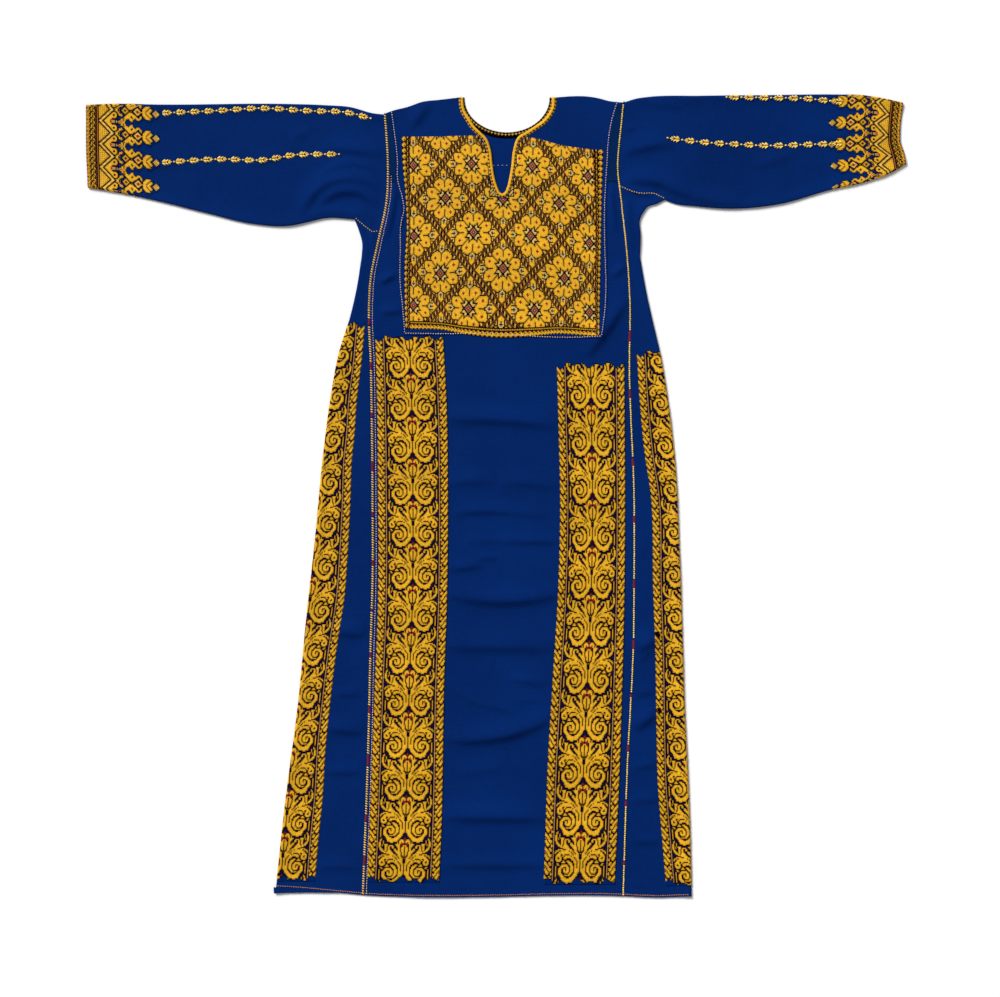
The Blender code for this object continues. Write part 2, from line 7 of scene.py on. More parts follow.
import bpy
import numpy as np
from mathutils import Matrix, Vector


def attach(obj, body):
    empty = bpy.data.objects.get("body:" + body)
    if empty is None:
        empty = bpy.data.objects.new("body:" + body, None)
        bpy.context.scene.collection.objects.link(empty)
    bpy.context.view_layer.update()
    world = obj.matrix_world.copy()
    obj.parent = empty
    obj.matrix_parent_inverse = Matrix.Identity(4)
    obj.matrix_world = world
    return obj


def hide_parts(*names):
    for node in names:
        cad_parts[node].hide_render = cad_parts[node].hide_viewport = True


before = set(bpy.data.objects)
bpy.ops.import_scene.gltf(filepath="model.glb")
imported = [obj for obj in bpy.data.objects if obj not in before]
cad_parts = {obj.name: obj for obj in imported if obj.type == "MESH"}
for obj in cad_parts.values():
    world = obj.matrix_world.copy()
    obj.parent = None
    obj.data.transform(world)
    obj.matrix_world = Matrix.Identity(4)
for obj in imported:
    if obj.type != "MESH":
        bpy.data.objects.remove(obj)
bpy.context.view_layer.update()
MM = 0.001

# ---- Camera, table and light ----
# A long lens looks straight down on the middle of the dress. The table is plain and nearly
# white, and soft light falls from the upper left into an evenly lit room.

VIEW_WIDTH = 1700.0  # how much the camera takes in from left to right, at the dress
VIEW_CENTRE = (7.2, -4.25)
LENS = 80.0
SENSOR = 36.0
TABLE_HALF = 9.0  # metres
TABLE_TOP = -0.0002  # metres, just below the dress
ROOM_LIGHT = 0.36
LAMP_STRENGTH = 4.0
LAMP_SPREAD = 0.45  # radians that the lamp spans, which softens shadows
LAMP_FROM = (-1.0, 1.25, 1.25)

scene = bpy.context.scene
scene.view_settings.view_transform = "Standard"


def placed(name, data):
    """A new object for the data, in the scene."""
    made = bpy.data.objects.new(name, data)
    scene.collection.objects.link(made)
    return made


def feed(node, inputs):
    """Link the inputs that are given another node's output, and set the others' own values."""
    for socket, value in inputs.items():
        if isinstance(value, bpy.types.NodeSocket):
            node.id_data.links.new(value, node.inputs[socket])
        else:
            node.inputs[socket].default_value = value
    return node


def new_finish(name, constants):
    """A material, its shader with the constants set, and ways to add a node or a sum to it.

    A node's inputs are given in their order or by name.
    """
    made = bpy.data.materials.new(name)
    made.use_nodes = True
    nodes = made.node_tree.nodes

    def add(kind, operation=None, *ordered, **named):
        node = nodes.new("ShaderNode" + kind)
        if operation:
            node.operation = operation
        return feed(node, {**dict(enumerate(ordered)), **named})

    def sums(operation, *values):
        return add("Math", operation, *values).outputs[0]

    return made, feed(nodes["Principled BSDF"], constants), add, sums


camera = placed("camera", bpy.data.cameras.new("camera"))
camera.data.lens = LENS
camera.data.sensor_width = SENSOR
camera.location = (VIEW_CENTRE[0] * MM, VIEW_CENTRE[1] * MM, VIEW_WIDTH * MM * LENS / SENSOR)
scene.camera = camera

lamp = placed("soft_lamp", bpy.data.lights.new("soft_lamp", "SUN"))
lamp.data.angle = LAMP_SPREAD
lamp.data.energy = LAMP_STRENGTH
lamp.rotation_euler = (-Vector(LAMP_FROM)).to_track_quat("-Z", "Y").to_euler()

room = bpy.data.worlds.new("room")
room.use_nodes = True
feed(room.node_tree.nodes["Background"], {"Color": (1.0, 1.0, 1.0, 1), "Strength": ROOM_LIGHT})
scene.world = room

white = new_finish("white_table", {
    "Base Color": (0.9, 0.9, 0.9, 1), "Roughness": 0.9, "Specular IOR Level": 0.1,
})[0]
table_mesh = bpy.data.meshes.new("table")
table_mesh.from_pydata(
    [(x * TABLE_HALF, y * TABLE_HALF, TABLE_TOP)
     for x, y in ((-1, -1), (1, -1), (1, 1), (-1, 1))],
    [], [(0, 1, 2, 3)],
)
table_mesh.materials.append(white)
table = placed("table", table_mesh)

# ---- Back panel ----
# One long piece of hand-loomed cotton, cut straight at the sides, hollowed at the neck and
# hemmed. It lies flat on the table, and the rest of the dress is sewn to its edges.

CLOTH = 0.7  # thickness of one layer as it shows at an edge
SEAM_HALF = 0.05  # how far a piece stops short of its seam line
SMOOTH_ANGLE = np.radians(50)

# Seams from the shoulders to the hem: y, x of the left seam, x of the right seam
SEAMS = np.array([
    (680, -191, 218), (620, -186, 212), (563, -183, 207), (503, -185, 213),
    (430, -200, 221), (371, -212, 226), (325, -215, 228), (223, -212, 227),
    (-7, -209, 235), (-143, -209, 235), (-245, -212, 234), (-449, -217, 224),
    (-690, -226, 216),
], float)

# Hem from left to right, and shoulders from the sleeves to the neck: x, y
HEM = np.array([
    (-376, -665), (-319, -669), (-265, -674), (-210, -679), (-156, -681), (7, -681),
    (89, -679), (198, -679), (279, -682), (333, -680),
], float)
LEFT_SHOULDER = np.array([
    (-189, 649), (-176, 654), (-149, 661), (-122, 670), (-95, 673), (-62, 677),
], float)
RIGHT_SHOULDER = np.array([
    (102, 677), (130, 679), (150, 679), (177, 675), (191, 671), (216, 668),
], float)

# The back's neck is half an ellipse, which its binding takes in from the cut
BACK_NECK_CENTRE = (19, 677)
BACK_NECK_HALF_WIDTH = 74.5
BACK_NECK_DEPTH = 61.0
BACK_BINDING_WIDTH = 6.5
SCOOP_STEPS = 14

# Rows and columns of the panels' grids, and where their middle column meets the hem
MIDDLE_X = 7.0
HEM_TO_NECK_STEPS = 120
NECK_TO_SHOULDER_STEPS = 26
HALF_COLUMNS = 22

# Dyed cotton, linear colours: the body of the dress and the darker facing of the shoulders
INDIGO = (0.0005, 0.0165, 0.112)
DEEP_TEAL = (0.0005, 0.0150, 0.074)
YARN_PITCH = 0.00088  # metres from one yarn to the next
SLUB_LENGTH = 0.011
SLUB_DRAW = 0.06  # a slub's thickness over its length
FADE_LENGTH = 0.16
# Share of the dye's tone that is always there, and shares from the weave, slubs and fading
LEAST_TONE, WEAVE_TONE, SLUB_TONE, FADE_TONE = 0.27, 0.16, 0.42, 0.5


def smooth_columns(table, at):
    """Read a table at new values of its first column, along a Hermite cubic with mean slopes."""
    rows = table[np.argsort(table[:, 0])]
    x, y = rows[:, 0], rows[:, 1:]
    slope = np.gradient(y, x, axis=0)
    at = np.clip(np.asarray(at, float), x[0], x[-1])
    i = np.clip(np.searchsorted(x, at) - 1, 0, len(x) - 2)
    step = x[i + 1] - x[i]
    t = ((at - x[i]) / step)[:, None]
    step = step[:, None]
    return (
        (2 * t**3 - 3 * t**2 + 1) * y[i] + (t**3 - 2 * t**2 + t) * step * slope[i]
        + (3 * t**2 - 2 * t**3) * y[i + 1] + (t**3 - t**2) * step * slope[i + 1]
    )


def smooth_curve(points, fractions):
    """Points at fractions of the length of a smooth curve through the given points."""
    length = np.concatenate([[0], np.cumsum(np.linalg.norm(np.diff(points, axis=0), axis=1))])
    return smooth_columns(np.column_stack([length, points]), np.asarray(fractions) * length[-1])


def sideways(points):
    """Unit ways across a flat curve, to the right of the way along it."""
    way = np.gradient(points, axis=0)
    way /= np.linalg.norm(way, axis=1)[:, None]
    return np.column_stack([way[:, 1], -way[:, 0]])


def patch(left, right, foot=None, head=None, columns=None, heights=None):
    """Coons patch of rows x columns between two side curves and two end curves.

    P = rows between the sides + columns between the ends - the corners' bilinear blend.
    A missing end is the straight line between the sides. Heights are the rows' shares of the way
    from foot to head, and are even where none are given.
    """
    for end in (foot, head):
        columns = columns if end is None else len(end) - 1
    u = np.linspace(0, 1, columns + 1)[None, :, None]
    v = (np.linspace(0, 1, len(left)) if heights is None else heights)[:, None, None]
    between = (1 - u) * left[:, None] + u * right[:, None]
    for end, weight in ((foot, 1 - v), (head, v)):
        if end is not None:
            straight = (1 - u[0]) * end[0] + u[0] * end[-1]
            between = between + weight * (end - straight)[None]
    return between


def panel_halves(sides, foot_line, middle_x, left_neck, right_neck, below, above, columns):
    """Flat grids of the left and right half of a panel on the body, rows from its foot up.

    Both halves share a middle column up to the foot of the neck, and part round it above. Each
    row below it runs straight from side to side, and the rows above end on the neck's curve.
    """
    middle_foot = np.array([middle_x, smooth_columns(foot_line, [middle_x])[0, 0]])
    middle = middle_foot + np.linspace(0, 1, below + 1)[:, None] * (left_neck[0] - middle_foot)
    low, high = sides[:, 0].min(), sides[:, 0].max()
    halves = []
    for column, (neck, shoulder, way) in enumerate((
        (left_neck, LEFT_SHOULDER, 1), (right_neck, RIGHT_SHOULDER, -1),
    )):
        foot_y = smooth_columns(foot_line, smooth_columns(sides, [low])[:, column])[0, 0]
        top_y = smooth_columns(shoulder, smooth_columns(sides, [high])[:, column])[0, 0]
        y = np.concatenate([
            np.linspace(foot_y, neck[0, 1], below + 1),
            np.linspace(neck[0, 1], top_y, above + 1)[1:],
        ])
        side = np.column_stack([smooth_columns(sides, y)[:, column] + way * SEAM_HALF, y])
        neck = smooth_curve(neck, np.linspace(0, 1, above + 1))
        foot_x = np.linspace(side[0, 0], middle[0, 0], columns + 1)
        foot = np.column_stack([foot_x, smooth_columns(foot_line, foot_x)[:, 0]])
        head_x = np.linspace(side[-1, 0], neck[-1, 0], columns + 1)
        head = np.column_stack([head_x, smooth_columns(shoulder, head_x)[:, 0]])
        head[0], head[-1] = side[-1], neck[-1]
        foot[0], foot[-1] = side[0], middle[0]
        lower = patch(side[:below + 1], middle, foot=foot)
        upper = patch(side[below:], neck, head=head)
        grid = np.vstack([lower[:-1], upper])
        halves.append(grid if way == 1 else grid[:, ::-1])
    return halves


def cotton(name, colour):
    """Plain-woven cotton: yarns crossing at an even pitch, slubs along both, and uneven dye.

    The weave is the product of two waves at the yarn's pitch. Slubs are two noises, one drawn
    out along X and one along Y. Height is the weave and half the slubs. Colour is the dye times
    the sum of a least tone, the weave, the slubs and a slow noise for fading.
    """
    made, shader, add, sums = new_finish(name, {
        "Roughness": 0.82, "Specular IOR Level": 0.03, "Sheen Weight": 0.02,
        "Sheen Roughness": 0.45, "Sheen Tint": (0.35, 0.5, 1.0, 1),
    })
    place = add("TexCoord").outputs["Object"]
    yarns, slubs = [], []
    for axis, stretch in (("X", (1, SLUB_DRAW, 1)), ("Y", (SLUB_DRAW, 1, 1))):
        wave = add(
            "TexWave", Vector=place, Scale=2 * np.pi / (20 * YARN_PITCH), Distortion=0.6,
            Detail=1.0,
        )
        wave.bands_direction = axis
        yarns.append(wave.outputs["Fac"])
        drawn = add("VectorMath", "MULTIPLY", place, stretch).outputs[0]
        scale = 1 / (SLUB_LENGTH * SLUB_DRAW * 1.6)
        slubs.append(add("TexNoise", Vector=drawn, Scale=scale, Detail=2.0).outputs["Fac"])
    fade = add("TexNoise", Vector=place, Scale=1 / FADE_LENGTH, Detail=3.0).outputs["Fac"]
    weave = sums("MULTIPLY", *yarns)
    both = sums("ADD", *slubs)
    depth = sums("ADD", sums("MULTIPLY", weave, WEAVE_TONE), sums("MULTIPLY", both, SLUB_TONE))
    tone = sums("ADD", sums("MULTIPLY", fade, FADE_TONE), sums("ADD", depth, LEAST_TONE))
    height = sums("ADD", weave, sums("MULTIPLY", both, 0.5))
    feed(shader, {
        "Base Color": add("VectorMath", "SCALE", colour, Scale=tone).outputs[0],
        "Normal": add("Bump", Strength=0.55, Distance=0.00022, Height=height).outputs["Normal"],
    })
    return made


indigo_cotton = cotton("indigo_cotton", INDIGO)


def cloth_shell(name, sheets, made_of):
    """One closed layer of cloth from grids of outer points and their outward ways.

    The inner skin stands off the outer one by the cloth's thickness against the outward way.
    Grids that share an edge are welded there, and every free edge is closed between the skins.
    """
    outer, inner, quads, start = [], [], [], 0
    for skin, way in sheets:
        index = start + np.arange(skin.shape[0] * skin.shape[1]).reshape(skin.shape[:2])
        a, b, c, d = index[:-1, :-1], index[:-1, 1:], index[1:, 1:], index[1:, :-1]
        turn = np.cross(skin[:-1, 1:] - skin[:-1, :-1], skin[1:, :-1] - skin[:-1, :-1])
        corners = (a, b, c, d) if (turn * way[:-1, :-1]).sum() > 0 else (a, d, c, b)
        quads.append(np.stack(corners, axis=-1).reshape(-1, 4))
        outer.append(skin.reshape(-1, 3))
        inner.append((skin - way * CLOTH).reshape(-1, 3))
        start += index.size
    outer, inner, quads = np.vstack(outer), np.vstack(inner), np.vstack(quads)
    _, first, same = np.unique(np.round(outer, 3), axis=0, return_index=True, return_inverse=True)
    outer, inner, quads = outer[first], inner[first], same.ravel()[quads]
    count = len(outer)
    start = quads.ravel()
    end = np.roll(quads, -1, axis=1).ravel()
    free = ~np.isin(end * count + start, start * count + end)
    start, end = start[free], end[free]
    rim = np.column_stack([end, start, start + count, end + count])
    faces = np.vstack([quads, quads[:, ::-1] + count, rim])
    mesh = bpy.data.meshes.new(name)
    mesh.from_pydata(np.vstack([outer, inner]) * MM, [], faces.tolist())
    mesh.shade_smooth()
    mesh.set_sharp_from_angle(angle=SMOOTH_ANGLE)
    mesh.materials.append(made_of)
    return placed(name, mesh)


def belongs(piece, slot, *nodes):
    """The piece lies still with the dress and stands for CAD nodes, which are hidden. slot is not
    used.
    """
    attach(piece, "root")
    if nodes:
        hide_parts(*nodes)


def upward(skin, way=1.0):
    """The straight up way for every point of a skin, or down where way is -1."""
    return np.broadcast_to((0.0, 0.0, way), skin.shape)


half_turn = np.linspace(-np.pi / 2, 0, SCOOP_STEPS + 1)
scoop = np.column_stack([
    np.sin(half_turn) * (BACK_NECK_HALF_WIDTH + BACK_BINDING_WIDTH),
    -np.cos(half_turn) * (BACK_NECK_DEPTH + BACK_BINDING_WIDTH),
])
left_scoop = (scoop + BACK_NECK_CENTRE)[::-1]
right_scoop = left_scoop * (-1, 1) + (2 * BACK_NECK_CENTRE[0], 0)
back_halves = panel_halves(
    SEAMS, HEM, MIDDLE_X, left_scoop, right_scoop,
    HEM_TO_NECK_STEPS, NECK_TO_SHOULDER_STEPS, HALF_COLUMNS,
)
back_skins = [np.dstack([half, np.zeros(half.shape[:2])]) for half in back_halves]
back = cloth_shell("back", [(skin, upward(skin, -1.0)) for skin in back_skins], indigo_cotton)
belongs(back, "cotton", "back_panel")

# ---- Front panel ----
# The second long piece, slit down the middle of the chest. It lies on the back panel, stands up
# a little towards the unpressed outer folds, and has soft creases from being put away folded.

FRONT_TOP = 2.7  # top of the front layer where it lies lowest
FOLD_RISE = 2.4  # how far the outer folds stand up over the flat layers
FOLD_SPREAD = 14.0  # distance over which that rise dies away
FRONT_TO_SLIT_STEPS = 360
FRONT_COLUMNS = 52
SLIT_TO_SHOULDER_STEPS = 40

# Outer folds of the body below the armpits: y, x of the left fold, x of the right fold
SIDES = np.array([
    (406, -228, 245), (350, -237, 255), (299, -249, 266), (248, -265, 278),
    (163, -281, 292), (61, -294, 304), (-75, -307, 311), (-211, -322, 316),
    (-347, -335, 320), (-517, -357, 328), (-690, -376, 333),
], float)

# Folds of the armpits, and sleeve outlines from the cuff to the shoulder or the armpit: x, y
LEFT_ARMPIT = np.array([(-240, 470), (-232, 449), (-227, 430), (-228, 406)], float)
RIGHT_ARMPIT = np.array([
    (287, 503), (273, 496), (258, 491), (251, 482), (245, 470), (246, 445), (245, 406),
], float)
LEFT_SLEEVE_TOP = np.array([
    (-696, 664), (-656, 666), (-570, 665), (-350, 666), (-289, 664), (-248, 661), (-207, 650),
    (-188, 648),
], float)
LEFT_SLEEVE_FOOT = np.array([
    (-693, 524), (-656, 518), (-574, 501), (-493, 481), (-411, 462), (-350, 459),
    (-320, 465), (-289, 472), (-240, 470),
], float)
RIGHT_SLEEVE_TOP = np.array([
    (692, 668), (650, 677), (622, 681), (585, 682), (449, 681), (347, 680), (259, 678),
    (238, 675), (216, 668),
], float)
RIGHT_SLEEVE_FOOT = np.array([
    (697, 564), (667, 547), (636, 536), (565, 519), (483, 496), (402, 488),
    (340, 492), (303, 497), (287, 503),
], float)

# Cut edge of the front's neck and slit, from the slit's foot up to each shoulder: x, y
LEFT_NECK = np.array([
    (11, 507), (2, 512), (-3, 522), (-8, 538), (-12, 562), (-15, 587), (-22, 605), (-29, 612),
    (-42, 625), (-51, 639), (-58, 651), (-61, 662), (-62, 677),
], float)
RIGHT_NECK = np.array([
    (11, 507), (20, 512), (25, 522), (29, 538), (33, 562), (36, 587), (43, 606), (55, 613),
    (70, 623), (84, 633), (94, 645), (101, 660), (102, 677),
], float)

# Creases: x and y of both ends, bow to the left of the way from the first end to the second,
# height before CREASE_RISE, and half width. The first 21 are the deep ones.
CREASES = np.array([
    (-335, 474, -196, 527, 37, 3.6, 14), (-303, 495, -200, 497, 23, 3.9, 13),
    (-302, 543, -194, 550, 18, 1.3, 8), (-298, 592, -192, 581, 2, 2.4, 12),
    (212, 535, 330, 508, 13, 3.6, 15), (285, 525, 420, 497, -5, 2.6, 14),
    (213, 583, 305, 600, 4, 2.6, 14), (-115, 668, -144, 625, 0, 2.4, 12),
    (-171, 530, -187, 436, 3, 2.6, 7), (194, 528, 202, 446, -2, 2.2, 6),
    (222, 508, 232, 420, -4, 2.4, 8), (221, 336, 151, 236, 3, 3.2, 12),
    (-96, 132, 112, 119, 5, 3.5, 16), (-94, -162, 116, -162, -15, 4.0, 16),
    (-98, -253, 110, -255, 0, 3.0, 18), (-94, -410, 102, -371, -17, 4.2, 16),
    (-98, -544, 96, -547, 2, 4.0, 17), (-275, -228, -220, -234, 0, 3.0, 14),
    (-290, -392, -222, -400, 0, 3.0, 14), (236, -262, 276, -240, 0, 3.4, 14),
    (232, -396, 276, -364, 0, 3.4, 14),
    (-326, 476, -228, 478, 7, 1.2, 8), (-241, 500, -208, 466, 0, 1.2, 5),
    (-243, 486, -211, 454, 0, 1.0, 5), (218, 528, 270, 510, -4, 2.0, 7),
    (-346, 602, -312, 626, 0, 0.9, 8), (-180, 648, -170, 540, 2, 1.0, 6),
    (-198, 361, -168, 378, 0, 2.2, 7), (-198, 313, -156, 314, 0, 2.0, 8),
    (-158, 503, -163, 440, 0, 1.4, 6), (-214, 452, -206, 415, 0, 0.9, 5),
    (-226, 440, -216, 408, 0, 0.9, 5), (259, 666, 323, 661, 0, 0.9, 7),
    (215, 622, 238, 624, 0, 0.8, 6), (197, 373, 222, 391, 0, 1.6, 7),
    (-84, 22, 0, 24, 3, 1.7, 13), (4, 24, 112, 13, 4, 1.8, 14),
    (-72, -29, 20, -27, 3, 2.1, 10), (0, -26, 84, -34, 1, 1.2, 9),
    (-52, -75, 30, -75, 0, 1.0, 9), (10, -75, 112, -77, 0, 1.9, 10),
    (-84, -122, -22, -116, -2, 1.7, 9), (-32, -105, 4, -105, 0, 0.9, 6),
    (-86, -306, -20, -356, -9, 1.2, 6), (-32, -354, 40, -373, 3, 0.9, 6),
    (24, -307, 84, -320, -1, 1.5, 8), (32, -345, 84, -350, 0, 0.7, 6),
    (-84, -472, 20, -456, -4, 0.8, 13), (-92, -627, 92, -627, 1, 2.1, 11),
    (-275, -335, -228, -335, 0, 1.3, 9), (-292, -469, -226, -469, 1, 1.4, 9),
    (-310, -631, -228, -631, 2, 1.4, 9), (240, -282, 271, -258, 0, 1.1, 7),
    (236, -333, 272, -333, 0, 1.3, 9), (232, -462, 276, -454, 0, 1.4, 9),
    (230, -517, 278, -517, 1, 1.3, 9), (228, -585, 282, -585, -1, 1.4, 9),
    (-420, 560, -330, 590, 4, 1.0, 11), (-600, 560, -520, 575, -3, 0.8, 12),
    (430, 560, 520, 590, -4, 1.0, 11), (520, 620, 600, 600, 3, 0.8, 12),
], float)
CREASE_TAPER = 0.7
LOWER_SIDE = 0.58  # share of its half width that a crease has below its crest
UPPER_SIDE = 1.25  # and above it, where it is less steep
TROUGH = 0.11  # share of its height in the trough below it
TROUGH_OFF = 1.7  # how many half widths the trough lies below the crest
CREASE_RISE = 1.8
PUCKER_HEIGHT = 0.4  # gathers that the sewing pulls along each seam
PUCKER_PITCH = 10.5
PUCKER_REACH = 6.0
SEAM_DIP = 0.35  # the cloth goes down to the seam, within a part of that reach
SEAM_DIP_NARROW = 2.2
HEM_FOLD_HEIGHT = 0.45  # the turned-up hem is thicker
HEM_FOLD_WIDTH = 9.0
HEM_FOLD_STEP = 1.4
OUTLINE_POINTS = 260  # points along each outer fold, for distances to the nearest one
POINTS_AT_ONCE = 8000  # distances are worked out for this many points at a time


def outline_points():
    """Close points along every outer fold of the body and the sleeves."""
    y = np.linspace(SIDES[-1, 0], SIDES[0, 0], OUTLINE_POINTS)
    sides = smooth_columns(SIDES, y)
    tables = (
        LEFT_ARMPIT, LEFT_SLEEVE_TOP, LEFT_SLEEVE_FOOT,
        RIGHT_ARMPIT, RIGHT_SLEEVE_TOP, RIGHT_SLEEVE_FOOT,
    )
    curves = [smooth_curve(table, np.linspace(0, 1, OUTLINE_POINTS)) for table in tables]
    return np.vstack([np.column_stack([sides[:, side], y]) for side in (0, 1)] + curves)


OUTLINE = outline_points()


def crease_height(x, y):
    """Every crease is a bell across a bowed arc, tapered to nothing at both ends by a sine.

    Below its crest the bell is narrower than above it, and a shallow trough follows.
    """
    height = np.zeros(x.shape)
    for x0, y0, x1, y1, bow, rise, half_width in CREASES:
        length = np.hypot(x1 - x0, y1 - y0)
        along_x, along_y = (x1 - x0) / length, (y1 - y0) / length
        along = ((x - x0) * along_x + (y - y0) * along_y) / length
        inside = np.clip(along, 0, 1)
        across = (y - y0) * along_x - (x - x0) * along_y - 4 * bow * inside * (1 - inside)
        across = across * (1.0 if along_x >= 0 else -1.0)
        width = half_width * np.where(across < 0, LOWER_SIDE, UPPER_SIDE)
        beyond = (along - inside) * length
        bell = np.exp(-(across / width) ** 2)
        bell -= TROUGH * np.exp(-(across / half_width + TROUGH_OFF) ** 2)
        bell = bell * np.exp(-(beyond / half_width) ** 2)
        height += CREASE_RISE * rise * bell * np.sin(np.pi * inside) ** CREASE_TAPER
    return height


def slow_waves(x, y):
    """Unevenness of cloth that was never pressed flat: three sines of unlike lengths and ways."""
    return (
        0.24 * np.sin(x / 31 + 1.3 * np.sin(y / 47))
        + 0.34 * np.sin(y / 23 + 0.9 * np.sin(x / 39) + 1.1)
        + 0.15 * np.sin((x + y) / 13.0 + 2.0 * np.sin((x - y) / 61))
    )


def front_height(points):
    """Height of the front layer's top: outer folds' rise, creases, waves, puckers and hem.

    The rise is a bell of the distance to the nearest outer fold. Puckers are a wave along each
    seam under a bell across it, less a narrower bell. The hem is a smooth step up to its fold.
    """
    x, y = points[..., 0].ravel(), points[..., 1].ravel()
    near = np.empty(len(x))
    for start in range(0, len(x), POINTS_AT_ONCE):
        part = slice(start, start + POINTS_AT_ONCE)
        near[part] = np.hypot(
            x[part, None] - OUTLINE[:, 0], y[part, None] - OUTLINE[:, 1],
        ).min(axis=1)
    height = FRONT_TOP + FOLD_RISE * np.exp(-((near / FOLD_SPREAD) ** 2))
    height += crease_height(x, y) + slow_waves(x, y)
    seams = smooth_columns(SEAMS, y)
    for column in (0, 1):
        off = (x - seams[:, column]) / PUCKER_REACH
        wave = 0.5 + 0.5 * np.sin(2 * np.pi * y / PUCKER_PITCH + 1.7 * np.sin(y / 37))
        dip = SEAM_DIP * np.exp(-(off * SEAM_DIP_NARROW) ** 2)
        height += PUCKER_HEIGHT * wave * np.exp(-off**2) - dip
    above_hem = y - smooth_columns(HEM, x)[:, 0]
    ripple = 0.75 + 0.25 * np.sin(x / 7.3 + 2 * np.sin(x / 41))
    step = 0.5 - 0.5 * np.tanh((above_hem - HEM_FOLD_WIDTH) / HEM_FOLD_STEP)
    height += HEM_FOLD_HEIGHT * ripple * step
    return height.reshape(points.shape[:-1])


def front_skin(points, layers_up=0.0):
    """Points of the front layer's top, lifted by what lies under it."""
    return np.dstack([points, front_height(points) + layers_up])


front_halves = panel_halves(
    SEAMS, HEM, MIDDLE_X, LEFT_NECK, RIGHT_NECK,
    FRONT_TO_SLIT_STEPS, SLIT_TO_SHOULDER_STEPS, FRONT_COLUMNS,
)
front_skins = [front_skin(half) for half in front_halves]
front = cloth_shell("front", [(skin, upward(skin)) for skin in front_skins], indigo_cotton)
belongs(front, "cotton", "front_panel")

# ---- Side panels and sleeves ----
# Each side panel runs from the front seam out, round an unpressed fold and back to the back
# seam. The straight sleeves are folded the same way, above and below, and sewn to the body.

FOLD_REACH = 2.6  # how far a fold's round goes out past the flat layers
FOLD_STEPS = 6
LEFT_ARM_SEAM = np.array([(-200, 450), (-209, 449), (-218, 455), (-227, 462), (-240, 470)], float)
RIGHT_ARM_SEAM = np.array([
    (210, 527), (226, 520), (236, 516), (247, 514), (268, 514), (287, 503),
], float)
LEFT_CUFF = np.array([(-696, 663), (-696, 595), (-693, 524)], float)
RIGHT_CUFF = np.array([(692, 668), (687, 619), (687, 605), (694, 582), (697, 564)], float)
EDGING_WIDTH = 5.0  # worked edge of each cuff
SIDE_ROWS = 330
SIDE_COLUMNS = 18
SLEEVE_STEPS = 96
SLEEVE_COLUMNS = 47
UNDER_RISE = 0.7  # the back layer is lifted this much by stitches under it
UNDER_SPREAD = 4.0  # distance from the seams over which it comes down again
UNDER_FROM_Y = 320.0  # side panels are stitched below this height
UNDER_FROM_X = 545.0  # and the sleeves beyond this place
UNDER_EASE = 8.0  # over which the stitched part begins


def under_height(points):
    """Height of the back layer's underside: lifted by the stitches, and down at the seams."""
    x, y = points[..., 0], points[..., 1]
    seams = smooth_columns(SEAMS, y.ravel()).reshape(points.shape[:2] + (2,))
    off = np.abs(x[..., None] - seams).min(axis=-1)
    stitched = np.tanh(np.maximum(UNDER_FROM_Y - y, abs(x) - UNDER_FROM_X) / UNDER_EASE)
    return UNDER_RISE * (1 - np.exp(-((off / UNDER_SPREAD) ** 2))) * (0.5 + 0.5 * stitched)


def under_skin(points):
    """Points of the back layer's underside."""
    return np.dstack([points, under_height(points)])


def fold_round(edge, outward):
    """The round of an outer fold, from the front layer's edge to the back layer's.

    It is half an ellipse, as high as the two layers stand apart and as far out as the reach.
    """
    top = front_height(edge[:, None])[:, 0]
    low = under_height(edge[:, None])[:, 0]
    angle = np.linspace(np.pi / 2, -np.pi / 2, FOLD_STEPS + 2)
    out, up = np.cos(angle)[None, :, None], np.sin(angle)[None, :]
    flat = edge[:, None] + outward[:, None] * out * FOLD_REACH
    height = ((top + low) / 2)[:, None] + ((top - low) / 2)[:, None] * up
    way = np.dstack([outward[:, None] * out, np.broadcast_to(up, flat.shape[:2])])
    return np.dstack([flat, height]), way


def armpit(armpit_table, sleeve_foot):
    """Inner end of the arm seam and the way out from it, halfway between the two outlines."""
    corner = armpit_table[0]
    down, along = armpit_table[1] - corner, sleeve_foot[-2] - corner
    out = down / np.linalg.norm(down) + along / np.linalg.norm(along)
    out /= np.linalg.norm(out)
    return corner - out * FOLD_REACH, out


def side_sheets(seam_rows, armpit_table, arm_seam, side, column):
    """Front, back and fold of a side panel, as outer points and outward ways."""
    seam = seam_rows + (side * SEAM_HALF, 0)
    below_y = seam_rows[seam_rows[:, 1] < SIDES[0, 0] + 1][:, 1]
    lower = np.column_stack([smooth_columns(SIDES, below_y)[:, column], below_y])
    steps = len(seam_rows) - len(below_y)
    upper = smooth_curve(armpit_table[::-1], np.linspace(0, 1, steps + 1))[1:]
    outline = np.vstack([lower, upper])
    outline[0, 1] = smooth_columns(HEM, [outline[0, 0]])[0, 0]
    outward = sideways(outline) * side
    outward[-1] = arm_seam[-1] - arm_seam[-2]
    outward[-1] /= np.linalg.norm(outward[-1])
    edge = outline - outward * FOLD_REACH
    head = arm_seam[:-1] - (0, SEAM_HALF)
    head[0] = seam[-1]
    edge[-1] = head[-1]
    foot_x = np.linspace(seam[0, 0], edge[0, 0], len(head))
    foot = np.column_stack([foot_x, smooth_columns(HEM, foot_x)[:, 0]])
    foot[0] = seam[0]
    edge[0] = foot[-1]
    grid = patch(seam, edge, foot, head)
    on_top, under = front_skin(grid), under_skin(grid)
    return [(on_top, upward(on_top)), (under, upward(under, -1.0)), fold_round(edge, outward)]


def seam_rows_between(low, high, count, column):
    """Points down a front seam between two heights, as x and y."""
    y = np.linspace(low, high, count)
    return np.column_stack([smooth_columns(SEAMS, y)[:, column], y])


